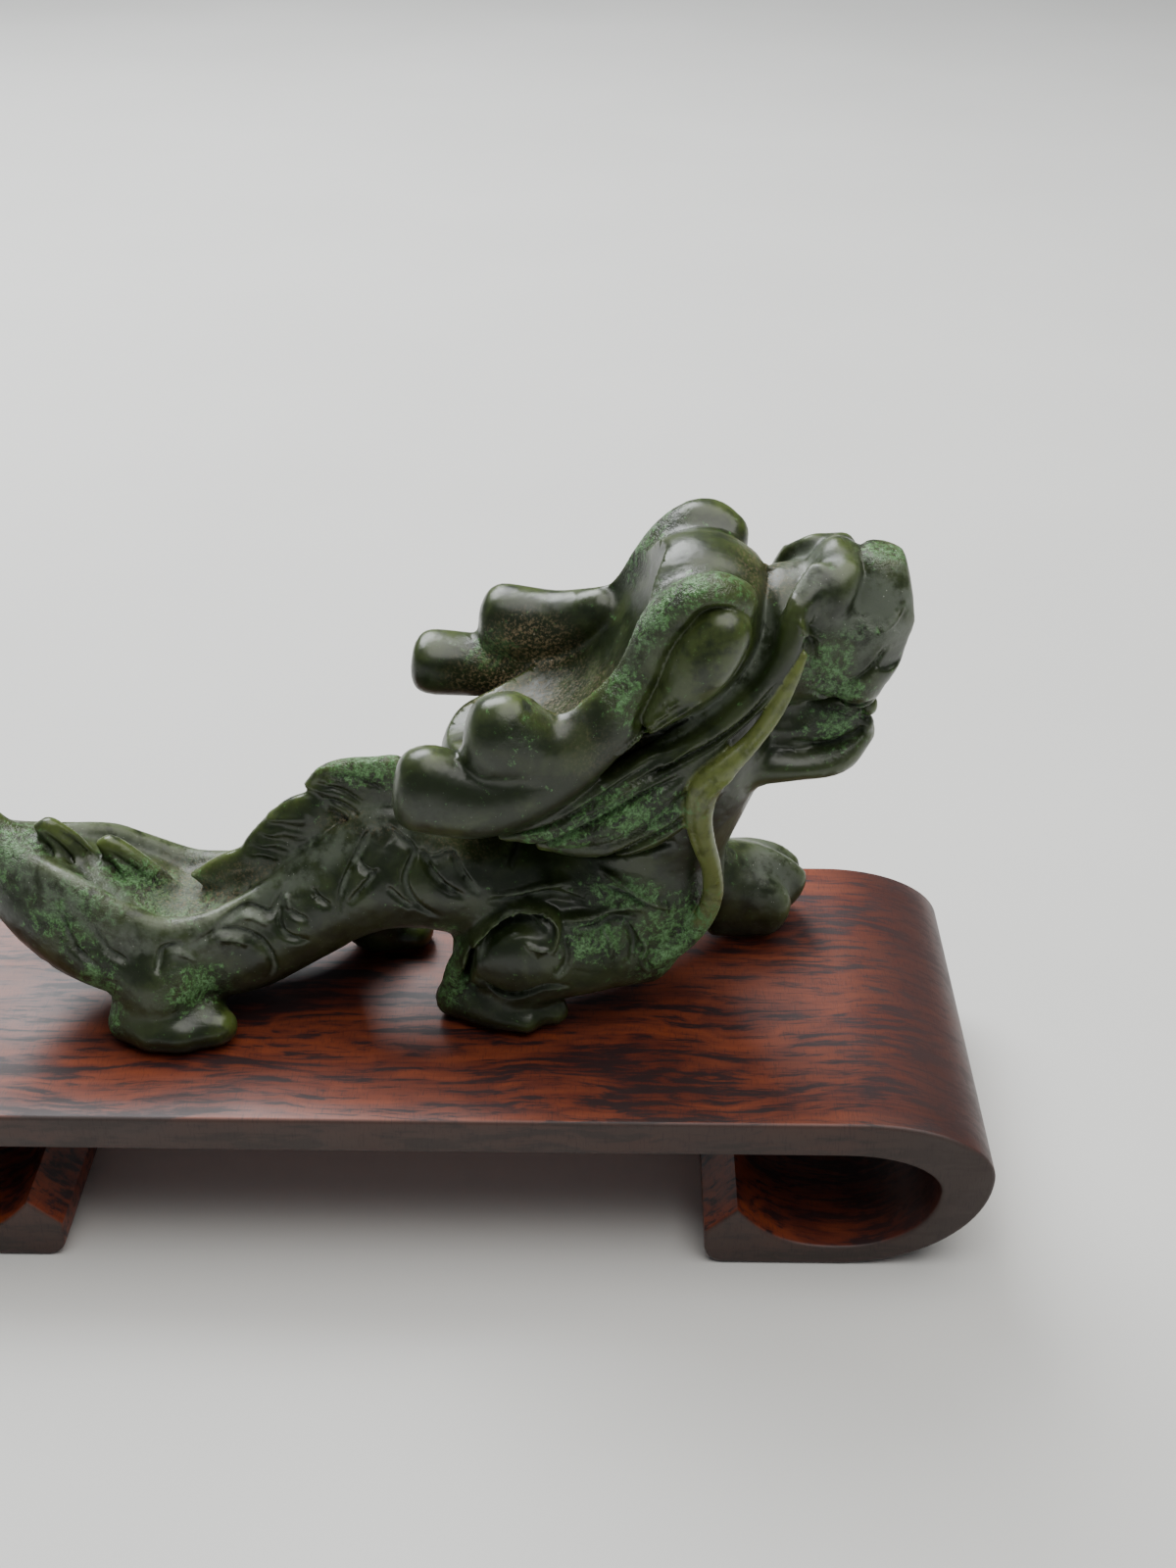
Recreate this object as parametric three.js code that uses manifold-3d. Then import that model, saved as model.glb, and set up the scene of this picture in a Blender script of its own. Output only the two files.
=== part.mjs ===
// A dragon carved from one piece of dark green jade, walking with its head held up,
// on a rosewood stand whose two ends roll under into scrolls.
// Millimetres, +Z up. The dragon faces +X, and its near side is at -Y.
import * as THREE from "three";
import { mergeVertices } from "three/addons/utils/BufferGeometryUtils.js";
import Module from "manifold-3d";

// ---- Driving dimensions ----

// The stand: a plank with eased arrises, whose ends roll under into scrolls with a bevelled tongue
const STAND_LENGTH = 152;
const STAND_WIDTH = 56;
const STAND_HEIGHT = 23;
const PLANK_THICKNESS = 5;
const STAND_ARRIS = 0.5;
const SCROLL_WIDEST_HEIGHT = 14.3;
const SCROLL_SHOULDER = 17;
const SCROLL_FOOT = 19;
const SCROLL_WALL = 6.5;
const SCROLL_FLOOR = 2.9;
const HOLLOW_HALF_LENGTH = 12;
const HOLLOW_WIDEST_HEIGHT = 12.2;
const TONGUE_REACH = 35.5;
const TONGUE_TIP_HEIGHT = 5.3;
const TONGUE_TOP = 9;
const TONGUE_BEVEL = 4;
const TONGUE_ROUND = 3;

// The dragon stands just clear of the plank, with its feet dressed flat
const REST_GAP = 0.3;
const MID_Y = 2;
const FIN_THICKNESS = 3;
const FIN_ARRIS = 0.5;
const FIN_ROOT_AHEAD = 2;
const FIN_ROOT_DEPTH = 3;
const FIN_CUT_DEPTH = 0.9;
const FIN_CUT_SLOPE = 0.15;

// Rows of a limb are [x, y, z, half-width, half-height], with z measured up from the soles of the feet.
// Rows of a paired limb give their distance out from the head's middle plane in place of y.
const SPINE = [
  [-68.5, 3, 37.5, 1.4, 1.6],
  [-71.2, 3, 32, 2.3, 2.6],
  [-68.5, 2, 26.5, 2.9, 3.2],
  [-60.5, 0, 23, 3.4, 3.8],
  [-51.5, -1, 21, 3.9, 4],
  [-48, -1.6, 19.6, 4.4, 4.8],
  [-43.5, -2, 15.4, 8, 7],
  [-36.5, -2, 11, 11, 7.4],
  [-27.5, -2, 8.2, 10.5, 6.6],
  [-19.5, -2, 9, 9, 7.2],
  [-12.5, -1.5, 12.4, 8, 7.2],
  [-5.5, -1, 16.6, 7.8, 7.4],
  [1, -0.5, 18.6, 8.2, 8],
  [9, 0.5, 18, 9, 8.6],
  [18, 1.5, 15.8, 10, 9.6],
  [27, 2, 14.6, 10.8, 10.6],
  [32.5, 2, 15, 11.2, 10.4],
];
// Two ridges run along the back, either side of the fins; their distance out is from HIP_Y
const HIP_Y = -2;
const BACK_RIDGE = [
  [-45, 4, 21.5, 1.4, 1.4],
  [-38, 8.2, 18.2, 1.8, 1.8],
  [-31.5, 9.2, 15.4, 1.8, 1.8],
  [-25.5, 7.4, 14, 1.8, 1.8],
  [-20, 5, 14.4, 1.8, 1.8],
  [-12, 3.2, 18, 1.8, 1.8],
  [-4, 2, 23.4, 1.6, 1.6],
];
// Each fin: root x and z, length, height, and how far its tip is lifted, in degrees
const FINS = [
  [2, 27.5, 12.5, 4.4, 17],
  [-7.5, 26, 13, 3.8, -22],
  [-17.5, 17.2, 8.5, 3, 4],
  [-29.5, 15.5, 11, 4.6, 38],
  [-38, 17.4, 10.5, 4.6, 44],
  [-47.5, 22, 8, 4, 30],
  [-56.5, 24.6, 7, 3.4, 24],
];
const NECK = [
  [31, 2, 16, 9.5, 9.5],
  [34, 2, 26, 10.5, 10],
  [37, 2, 37, 11.5, 11],
  [38.5, 2, 48, 11, 11],
];
const MANE = [
  [38, 2, 53, 9, 8],
  [30, 2, 46.5, 10.5, 8.5],
  [20, 2, 37.5, 12, 6.5],
  [12, 2, 34, 11, 5],
];
const UPPER_LOCK = [
  [38.5, 9.5, 57, 3.4, 3.6],
  [31, 10, 50.5, 3.4, 3.6],
  [26.5, 11, 45.5, 3.4, 3.8],
  [21, 13, 42.2, 3.8, 4.4],
  [14.2, 15, 45, 4.2, 4.8],
];
const LOWER_LOCK = [
  [36, 11, 52, 3, 3.5],
  [31, 12.2, 46, 3.2, 3.8],
  [24, 13.6, 39.5, 3.6, 4.2],
  [15.5, 15.4, 36.2, 4.2, 4.8],
  [6.3, 15.6, 38.6, 4.2, 4.7],
];
const NECK_LOCKS = [
  [[38, 11, 45, 2.2, 2.8], [29, 12.5, 38.5, 2.6, 3], [20, 13.4, 34.2, 2.6, 2.8], [12, 13.2, 33, 1.6, 1.6]],
  [[38.5, 11, 39, 2.2, 2.8], [30, 12.2, 33.6, 2.6, 3], [22, 12.6, 31, 2.4, 2.6], [15, 12, 30.6, 1.4, 1.6]],
  [[39.5, 10.5, 33.5, 2.2, 2.6], [33, 11.2, 29.6, 2.4, 2.6], [26, 11.4, 28, 2.2, 2.2], [20, 11, 28, 1.2, 1.2]],
];
// Each swelling of the head: its middle, then its half-length, half-width and half-height
const SKULL = [38.8, MID_Y, 50.6, 10.4, 11, 13];
const NOSE_TIP = [59.6, MID_Y, 57.2, 4.8, 5.4, 5.8];
const NOSE_BRIDGE = [54.8, MID_Y, 57.4, 3.8, 5, 6];
const BROW = [
  [41.6, 10.6, 58.4, 2.8, 3],
  [39.8, 12, 59.4, 3.2, 3.8],
  [36, 11.6, 55.4, 2.8, 3],
  [32.4, 11.2, 50.8, 2.2, 2.4],
];
const EYE = [
  [40.5, 13, 57, 3, 3.4],
  [38, 13, 52.6, 2.8, 3.2],
  [35.4, 12.4, 47.6, 1.6, 1.8],
];
const MUZZLE = [
  [46, 2, 50.6, 8, 8.6],
  [53, 2, 51.4, 7.2, 9],
  [57, 2, 52.6, 6.2, 9],
];
const NOSTRIL_HUMP = [
  [51.5, 4.2, 56, 2.6, 3.6],
  [55.6, 4.2, 58.6, 3, 3.6],
];
const UPPER_LIP = [
  [60.6, 3, 54.4, 3, 3.4],
  [59.2, 3.2, 50, 3.2, 3.4],
  [57.6, 3.4, 46, 3, 3],
];
const JAW = [
  [44, 2, 37, 7.5, 4.8],
  [51, 2, 35.4, 6.6, 4.2],
  [56, 2, 36, 5.4, 3.8],
  [57.8, 2, 39.4, 4, 2.6],
];
const BARBEL = [
  [49.6, 8, 52.1, 1.1, 1.1],
  [46, 8.6, 44.6, 1.2, 1.2],
  [40.6, 11.2, 38.4, 1.3, 1.3],
  [39, 11, 34.9, 1.3, 1.3],
  [40.4, 8.8, 24.6, 1.3, 1.3],
  [41, 7, 16.4, 1.3, 1.3],
  [35, 9.6, 8.6, 1.3, 1.3],
];
const MOUTH_STONE = [
  [46, 2, 40, 4, 5],
  [57, 2, 40.8, 3, 4.4],
];
// The mouth is cut in from both cheeks, up to a wall of that stone in the middle: its outline in x and z
const MOUTH = [[49.5, 40.6], [53.5, 42.4], [57.6, 43.4], [58.2, 41], [54, 39], [50.5, 39.2]];
const MOUTH_WALL = 4;
const MOUTH_CUT_DEPTH = 18;

// Near and far legs: limbs of the thigh or shoulder, then the foot, then the toes
const NEAR_FORELEG = [
  [[33, -5, 9.4, 4, 5], [25, -7.6, 10.8, 4.4, 6], [17, -9, 11.2, 4, 5.6], [12, -9, 9.5, 2.6, 3.4]],
  [[13, -7, 13, 2, 2], [9.4, -7.3, 8, 1.8, 1.8], [8, -6.5, 2.5, 1.8, 1.8]],
  [[25, -7, 9, 4, 4], [17, -7.4, 5.6, 4, 3.6], [12, -7, 3, 3.4, 2.6]],
  [[8, -6.5, 1.8, 2.2, 2], [14, -8.8, 2, 3, 2.2], [18, -10.3, 1.6, 2.2, 1.6]],
  [[15, -7.6, 2, 2.4, 2], [21.3, -8.6, 1.7, 1.9, 1.7]],
];
const NEAR_HIND_LEG = [
  [[-27, -5, 9, 6, 5], [-28.6, -8.6, 7.4, 6.6, 6], [-29, -9.4, 3.6, 6, 5.8]],
  [[-33, -9.2, 2.2, 4.8, 2.8], [-25, -10.4, 2, 4.6, 2.6]],
  [[-30, -11, 1.8, 2.6, 2.4], [-28.6, -13.8, 1.6, 2.4, 1.8]],
  [[-25, -11, 1.8, 2.4, 2.2], [-22, -12.2, 1.6, 2.4, 1.8]],
];
const FAR_HIND_LEG = [
  [[-22, 3, 10, 6, 6], [-11, 6.6, 8.6, 5, 5], [-3.5, 8.6, 4, 4, 4]],
  [[-4, 8.8, 2, 3.8, 2.6], [2, 9, 1.7, 3.4, 2.2]],
];
const FAR_FORELEG = [
  [[30, 7, 12, 6, 7], [39, 11.5, 9.6, 5, 5.6], [46.5, 15, 6, 5.2, 5]],
  [[45, 12.2, 7, 2, 2.2], [50.5, 11.8, 5.2, 2.1, 2.4], [52.4, 11.8, 1.9, 1.8, 1.8]],
  [[45, 15.2, 7, 2, 2.2], [50.5, 15.6, 5.2, 2.1, 2.4], [52.9, 16, 1.9, 1.8, 1.8]],
  [[45, 18.2, 7, 2, 2.2], [50.5, 19.4, 5.2, 2.1, 2.4], [53.4, 20.2, 1.9, 1.8, 1.8]],
];

// Scales run along the flanks between these spots on the spine, from 0 at its tail to 1 at its chest
const SPINE_SIDES = 14;
const SPINE_STEPS = 36;
const FIRST_SCALE = 0.3;
const LAST_SCALE = 0.9;
const SCALES_UP_TO = 0.8;
const SCALE_RELIEF = 0.9;

const wasm = await Module();
wasm.setup();

// ---- Solids ----

// A closed geometry, with its shared vertices merged, as a solid that can be cut and joined
function solidOf(geometry) {
  geometry.deleteAttribute("normal");
  geometry.deleteAttribute("uv");
  const merged = mergeVertices(geometry, 1e-4);
  const mesh = new wasm.Mesh({
    numProp: 3,
    vertProperties: Float32Array.from(merged.attributes.position.array),
    triVerts: Uint32Array.from(merged.index.array),
  });
  return new wasm.Manifold(mesh);
}

function geometryOf(solid) {
  const mesh = solid.getMesh();
  const geometry = new THREE.BufferGeometry();
  geometry.setAttribute("position", new THREE.BufferAttribute(mesh.vertProperties, 3));
  geometry.setIndex(new THREE.BufferAttribute(mesh.triVerts, 1));
  geometry.computeVertexNormals();
  return geometry;
}

// The smooth curve through three columns of a limb's rows: its centre line, or its sizes
function smooth(rows, x, y, z) {
  const points = rows.map((row) => new THREE.Vector3(row[x], row[y], row[z]));
  return new THREE.CatmullRomCurve3(points, false, "catmullrom");
}

// The centre line's place at a spot from 0 to 1, with its way on, its way up and its way to the side
function frameAt(rows, spot) {
  const centre = smooth(rows, 0, 1, 2);
  const along = centre.getTangent(spot);
  const up = new THREE.Vector3(0, -1, 0).cross(along).normalize();
  const side = new THREE.Vector3().crossVectors(along, up).normalize();
  return { place: centre.getPoint(spot), along, up, side, size: smooth(rows, 3, 4, 4).getPoint(spot) };
}

// A capsule bent along a limb's centre line, wider and narrower as its rows say
function limb(rows, around = 8, steps = 2 * (rows.length - 1), relief = () => 0) {
  const capsule = new THREE.CapsuleGeometry(1, 2, 2, around, steps);
  const vertices = capsule.attributes.position;
  for (let i = 0; i < vertices.count; i += 1) {
    const on = THREE.MathUtils.clamp(vertices.getY(i), -1, 1);
    const past = vertices.getY(i) - on;
    const spot = (on + 1) / 2;
    const { place, along, up, side, size } = frameAt(rows, spot);
    const proud = relief(spot, Math.atan2(vertices.getZ(i), vertices.getX(i)));
    place.addScaledVector(along, past * Math.min(size.x, size.y));
    place.addScaledVector(side, vertices.getX(i) * (size.x + proud));
    place.addScaledVector(up, vertices.getZ(i) * (size.y + proud));
    vertices.setXYZ(i, place.x, place.y, place.z);
  }
  return solidOf(capsule);
}

// One of a left and right pair of limbs
const pair = (rows, side, middle = MID_Y) =>
  rows.map(([x, out, z, ...sizes]) => [x, middle + side * out, z, ...sizes]);

// The depth of a limb's centre line at a given x
function depthAt(rows, x) {
  const points = smooth(rows, 0, 1, 2).getPoints(200);
  return points.reduce((best, point) => (Math.abs(point.x - x) < Math.abs(best.x - x) ? point : best)).y;
}

function swelling([x, y, z, halfLength, halfWidth, halfHeight]) {
  const ball = new THREE.SphereGeometry(1, 10, 6);
  ball.scale(halfLength, halfWidth, halfHeight);
  ball.translate(x, y, z);
  return solidOf(ball);
}

const unite = (solids) => solids.reduce((whole, solid) => whole.add(solid));

// ---- The rosewood stand ----

// Half of the stand's section, from the middle of its top round the scroll to the middle of its underside
function halfSection() {
  const end = STAND_LENGTH / 2;
  const underside = STAND_HEIGHT - PLANK_THICKNESS;
  const hollow = end - SCROLL_WALL - HOLLOW_HALF_LENGTH;
  const tongue = end - TONGUE_REACH;
  const section = new THREE.Path();
  section.moveTo(0, STAND_HEIGHT);
  section.lineTo(end - SCROLL_SHOULDER, STAND_HEIGHT);
  section.absellipse(end - SCROLL_SHOULDER, SCROLL_WIDEST_HEIGHT,
    SCROLL_SHOULDER, STAND_HEIGHT - SCROLL_WIDEST_HEIGHT, Math.PI / 2, 0, true);
  section.absellipse(end - SCROLL_FOOT, SCROLL_WIDEST_HEIGHT, SCROLL_FOOT, SCROLL_WIDEST_HEIGHT,
    0, -Math.PI / 2, true);
  section.lineTo(tongue + TONGUE_ROUND, 0);
  section.quadraticCurveTo(tongue, 0, tongue, TONGUE_ROUND);
  section.lineTo(tongue, TONGUE_TIP_HEIGHT);
  section.lineTo(tongue + TONGUE_BEVEL, TONGUE_TOP);
  section.bezierCurveTo(tongue + 2 * TONGUE_BEVEL, SCROLL_FLOOR + 1, tongue + 3 * TONGUE_BEVEL, SCROLL_FLOOR,
    hollow, SCROLL_FLOOR);
  section.absellipse(hollow, HOLLOW_WIDEST_HEIGHT, HOLLOW_HALF_LENGTH, HOLLOW_WIDEST_HEIGHT - SCROLL_FLOOR,
    -Math.PI / 2, 0, false);
  section.absellipse(hollow, HOLLOW_WIDEST_HEIGHT, HOLLOW_HALF_LENGTH, underside - HOLLOW_WIDEST_HEIGHT,
    0, Math.PI / 2, false);
  section.lineTo(0, underside);
  return section.getPoints(4);
}

function standGeometry() {
  const right = halfSection().slice(1, -1);
  const left = right.map((point) => new THREE.Vector2(-point.x, point.y)).reverse();
  const plank = new THREE.ExtrudeGeometry(new THREE.Shape([...right, ...left]), {
    depth: STAND_WIDTH - 2 * STAND_ARRIS,
    bevelThickness: STAND_ARRIS,
    bevelSize: STAND_ARRIS,
    bevelOffset: -STAND_ARRIS,
    bevelSegments: 1,
  });
  plank.rotateX(Math.PI / 2);
  plank.translate(0, STAND_WIDTH / 2 - STAND_ARRIS, 0);
  return plank;
}

// ---- The jade dragon ----

// A flame-shaped fin that lies back along the spine, with a striation cut in each face
function fin([x, z, length, height, lift]) {
  const leaf = new THREE.Shape();
  leaf.moveTo(FIN_ROOT_AHEAD, -FIN_ROOT_DEPTH);
  leaf.quadraticCurveTo(FIN_ROOT_AHEAD / 2, 0.8 * height, -0.4 * length, height);
  leaf.quadraticCurveTo(-0.8 * length, height, -length, 0);
  leaf.quadraticCurveTo(-0.75 * length, 0, -0.55 * length, -FIN_ROOT_DEPTH);
  leaf.closePath();
  const blade = new THREE.ExtrudeGeometry(leaf, {
    depth: FIN_THICKNESS - 2 * FIN_ARRIS,
    bevelThickness: FIN_ARRIS,
    bevelSize: FIN_ARRIS,
    bevelOffset: -FIN_ARRIS,
    bevelSegments: 1,
    curveSegments: 3,
  });
  blade.translate(0, 0, FIN_ARRIS - FIN_THICKNESS / 2);
  let solid = solidOf(blade);
  for (const face of [-1, 1]) {
    const cut = new THREE.CylinderGeometry(FIN_CUT_DEPTH, FIN_CUT_DEPTH, 0.6 * length, 3);
    cut.rotateY(face > 0 ? Math.PI : 0);
    cut.rotateZ(Math.PI / 2 - FIN_CUT_SLOPE);
    cut.translate(-0.5 * length, 0.4 * height, face * FIN_THICKNESS / 2);
    solid = solid.subtract(solidOf(cut));
  }
  const placed = geometryOf(solid);
  placed.rotateX(Math.PI / 2);
  placed.rotateY(THREE.MathUtils.degToRad(lift));
  placed.translate(x, depthAt(SPINE, x), z);
  return solidOf(placed);
}

function head() {
  const parts = [limb(NECK, 8, 4), limb(MANE, 10), limb(MUZZLE, 10, 4), limb(JAW, 8), limb(MOUTH_STONE, 4, 1)];
  parts.push(...[SKULL, NOSE_TIP, NOSE_BRIDGE].map(swelling));
  for (const side of [-1, 1]) {
    for (const rows of [UPPER_LOCK, LOWER_LOCK]) {
      parts.push(limb(pair(rows, side), 8));
    }
    for (const rows of [BROW, EYE, NOSTRIL_HUMP, UPPER_LIP]) {
      parts.push(limb(pair(rows, side), 6));
    }
    for (const rows of NECK_LOCKS) {
      parts.push(limb(pair(rows, side), 6, 4));
    }
    parts.push(limb(pair(BARBEL, side), 4, 8));
  }
  return parts;
}

// Staggered corners of the spine's facets stand proud of their neighbours on the flanks, as scales
function scaleRelief(spot, angle) {
  const ring = Math.round(spot * SPINE_STEPS);
  const column = Math.round((angle / (2 * Math.PI)) * SPINE_SIDES);
  const scaly = spot > FIRST_SCALE && spot < LAST_SCALE && Math.abs(Math.sin(angle)) < SCALES_UP_TO;
  return scaly && ring % 2 === 0 && (column + ring / 2) % 2 === 0 ? SCALE_RELIEF : 0;
}

function mouthCut(side) {
  const outline = new THREE.Shape(MOUTH.map(([x, z]) => new THREE.Vector2(x, z)));
  const cut = new THREE.ExtrudeGeometry(outline, { depth: MOUTH_CUT_DEPTH, bevelEnabled: false });
  cut.rotateX(Math.PI / 2);
  cut.translate(0, MID_Y + (side * (MOUTH_WALL + MOUTH_CUT_DEPTH) + MOUTH_CUT_DEPTH) / 2, 0);
  return solidOf(cut);
}

function dragonGeometry() {
  const legs = [NEAR_FORELEG, NEAR_HIND_LEG, FAR_HIND_LEG, FAR_FORELEG].flat().map((rows) => limb(rows, 6));
  const ridges = [-1, 1].map((side) => limb(pair(BACK_RIDGE, side, HIP_Y), 6));
  const spine = limb(SPINE, SPINE_SIDES, SPINE_STEPS, scaleRelief);
  const pieces = [spine, ...ridges, ...head(), ...legs, ...FINS.map(fin)];
  let dragon = unite(pieces).subtract(mouthCut(-1)).subtract(mouthCut(1));
  const bench = new THREE.BoxGeometry(2 * STAND_LENGTH, 2 * STAND_WIDTH, STAND_HEIGHT);
  bench.translate(0, 0, -STAND_HEIGHT / 2);
  dragon = dragon.subtract(solidOf(bench));
  return geometryOf(dragon);
}

const group = new THREE.Group();
const rosewood = new THREE.MeshStandardMaterial({ color: 0x5a2114, roughness: 0.4, metalness: 0 });
const jade = new THREE.MeshStandardMaterial({ color: 0x26331f, roughness: 0.25, metalness: 0 });

const stand = new THREE.Mesh(standGeometry(), rosewood);
stand.name = "rosewood_stand";
group.add(stand);

const dragon = new THREE.Mesh(dragonGeometry(), jade);
dragon.name = "jade_dragon";
dragon.position.z = STAND_HEIGHT + REST_GAP;
group.add(dragon);

export default group;
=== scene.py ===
"""A jade dragon, carved from one stone, on a rosewood stand whose two ends roll under into scrolls.

The dragon is carved here as a carver works: limbs, locks and fins are left standing on a block,
hollows are gouged out of it and lines are engraved in its flanks. Rows are in millimetres.
"""

import math

import bpy
import numpy as np
import openvdb
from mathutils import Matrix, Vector


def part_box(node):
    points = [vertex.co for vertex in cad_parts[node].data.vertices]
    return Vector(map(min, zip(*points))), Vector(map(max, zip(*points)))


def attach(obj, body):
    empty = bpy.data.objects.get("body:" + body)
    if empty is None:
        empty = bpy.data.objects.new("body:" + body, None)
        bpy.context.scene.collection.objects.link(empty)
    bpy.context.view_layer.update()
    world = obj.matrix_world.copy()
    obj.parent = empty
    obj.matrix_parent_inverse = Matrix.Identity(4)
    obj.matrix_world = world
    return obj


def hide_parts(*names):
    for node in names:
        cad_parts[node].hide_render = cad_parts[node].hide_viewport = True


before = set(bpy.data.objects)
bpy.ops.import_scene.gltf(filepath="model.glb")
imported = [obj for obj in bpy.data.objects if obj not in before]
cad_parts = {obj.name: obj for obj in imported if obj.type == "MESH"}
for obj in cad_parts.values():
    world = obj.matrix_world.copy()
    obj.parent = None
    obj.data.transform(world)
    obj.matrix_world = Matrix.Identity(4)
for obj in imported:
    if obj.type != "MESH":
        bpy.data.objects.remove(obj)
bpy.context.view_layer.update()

MM = 0.001
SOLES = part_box("jade_dragon")[0].z
STAND_LOW, STAND_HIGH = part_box("rosewood_stand")
STAND_MIDDLE = (STAND_LOW + STAND_HIGH) / 2
HALF_LENGTH, HALF_WIDTH = (round(size / MM / 2, 1) for size in (STAND_HIGH - STAND_LOW)[:2])
BOARD_TOP = round((STAND_HIGH.z - STAND_LOW.z) / MM, 1)

# ---- The dragon's limbs, row by row: x, y, z above the soles, half-width, half-height ----
#
# A limb in the head's middle plane leaves y out. A limb that comes in a left and right pair gives
# how far out from the middle plane it lies in place of y.

MID_Y = 2
# The near side, then the far side
SIDES = (-1, 1)
SPINE = [
    (-68.5, 3, 37.5, 1.4, 1.6),
    (-71.2, 3, 32, 2.3, 2.6),
    (-68.5, 2, 26.5, 2.9, 3.2),
    (-60.5, 0, 23, 3.4, 3.8),
    (-51.5, -1, 21, 3.9, 4),
    (-48, -1.6, 19.6, 4.4, 4.8),
    (-43.5, -2, 15.4, 8, 7),
    (-36.5, -2, 11, 11, 7.4),
    (-27.5, -2, 8.2, 10.5, 6.6),
    (-19.5, -2, 9, 9, 7.2),
    (-12.5, -1.5, 12.4, 8, 7.2),
    (-5.5, -1, 16.6, 7.8, 7.4),
    (1, -0.5, 18.6, 8.2, 8),
    (9, 0.5, 18, 9, 8.6),
    (18, 1.5, 15.8, 10, 9.6),
    (27, 2, 14.6, 10.8, 10.6),
    (32.5, 2, 15, 11.2, 10.4),
]
# Two ridges run along the back, either side of the fins: here, out is measured from the spine
BACK_RIDGE = [
    (-50, 1.5, 21.4, 1.6, 2.4),
    (-42.3, 4.6, 19.6, 1.9, 3),
    (-37.6, 6.8, 17.8, 2.1, 3.4),
    (-34.1, 7.6, 15.9, 2.2, 3.4),
    (-29.1, 8, 13.5, 2.3, 3.4),
    (-25.8, 7.7, 12.9, 2.3, 3.4),
    (-21, 6.7, 13.5, 2.2, 3.4),
    (-16, 4.8, 15.4, 2.1, 3.2),
    (-12.5, 4, 17.6, 2, 3),
    (-8.5, 3.2, 20.9, 1.9, 2.9),
    (-2.7, 2.5, 25, 1.7, 2.7),
    (0.7, 2.6, 26, 1.7, 2.7),
    (3.7, 3.8, 25, 1.6, 2.7),
    (7.7, 5.6, 22.9, 1.5, 2.6),
    (11, 7.2, 19.4, 1.3, 2.4),
]
# Between the ridges the back is a shallow saddle that follows the spine, so y is left out
SADDLE = [
    (-47, 16.5, 3, 4),
    (-42, 16.6, 4, 4.4),
    (-37.6, 15.6, 6, 4.6),
    (-34.1, 13.8, 7.2, 4.8),
    (-29.1, 11, 8.4, 4.8),
    (-25.8, 10.6, 8.2, 4.8),
    (-21, 11.2, 6.6, 4.8),
    (-16, 12.6, 5, 4.8),
    (-12.5, 14.8, 4.2, 4.8),
    (-8, 18.6, 3.4, 4.6),
]
# Each fin is a leaf that stands on the spine: its outline in x and z, from its tip over the top
# to its root
FINS = [
    [(-9.9, 31.2), (-8.2, 33.3), (-5.5, 34.6), (-1.5, 35), (3, 34.6), (5, 27), (-2, 25), (-6.6, 26.8)],
    [(-18.8, 21.2), (-17.6, 23.6), (-14.6, 27), (-11.6, 29.5), (-8, 29.8), (-6, 24), (-12.5, 17),
     (-17, 17.8)],
    [(-25.3, 18), (-22, 20.4), (-18.4, 21.8), (-14, 21), (-14, 16), (-21.5, 15)],
    [(-36.8, 22.8), (-35, 23.6), (-32.4, 22), (-28, 17.4), (-26, 12.5), (-31.5, 12), (-34.6, 16.5)],
    [(-44.4, 25.2), (-42.4, 26.2), (-40, 24.7), (-37.6, 21.8), (-35, 16), (-36, 13.5), (-41, 16.5)],
    [(-55.6, 28.4), (-53, 29), (-50, 27), (-46, 22), (-47, 19), (-53.5, 24)],
    [(-65, 29.4), (-62, 30.4), (-59, 28.6), (-55.5, 25), (-56, 22), (-62.5, 25.4)],
]
NECK = [
    (31, 16, 9.5, 9.5),
    (34, 26, 10.5, 10),
    (37, 37, 11.5, 11),
    (38.5, 48, 11, 11),
]
MANE = [
    (38, 53, 9, 8),
    (30, 46.5, 10.5, 8.5),
    (20, 37.5, 12, 6.5),
    (12, 34, 11, 5),
]
# The mane is dished between two sharp edges that run down from the brows to the locks
DISH = [
    (34, 64, 3, 1),
    (31.6, 60.2, 7, 2),
    (29.6, 55.8, 11.2, 3.2),
    (26.8, 51.2, 12.4, 4),
    (22.6, 46.6, 12.8, 4.6),
    (18, 43.8, 11, 4.8),
    (14, 42.6, 9.4, 4.4),
    (8, 41, 8.6, 4),
]
UPPER_LOCK = [
    (37.6, 8.6, 58.2, 2.6, 2.6),
    (34.3, 8.9, 55.1, 2.8, 2.8),
    (31.2, 10.4, 50.9, 2.8, 2.9),
    (28.6, 11.5, 48, 2.9, 3.2),
    (24.6, 12.9, 44.2, 3.3, 3.5),
    (19.5, 14, 42.4, 3.9, 3.9),
]
UPPER_CURL = [
    (24, 13, 43, 3.2, 3),
    (20, 13.8, 42.8, 4.2, 4.2),
    (15.4, 14.6, 44.8, 4.8, 6),
]
FAR_UPPER_CURL = [
    (27, 11.8, 47.8, 3, 3.2),
    (21, 13.4, 45, 4.2, 4.6),
    (14.8, 14.8, 44.6, 4.6, 5.2),
]
LOWER_LOCK = [
    (35.6, 10.6, 53.6, 1.8, 2),
    (31.5, 12, 49, 2.2, 2.6),
    (27.6, 13, 44.6, 2.8, 3.2),
    (23.4, 13.8, 40.8, 3.3, 3.8),
    (18, 14.8, 37.8, 3.8, 4.4),
    (12.4, 15.4, 36.8, 4.2, 5),
    (6.6, 15.6, 38.3, 4.4, 5.7),
]
FAR_LOWER_LOCK = [
    (31.5, 12, 49, 2.2, 2.6),
    (23.4, 13.8, 41.8, 3.3, 3.6),
    (14, 14, 39, 3.8, 4),
    (5.4, 13.4, 39.6, 4, 4.4),
]
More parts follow.
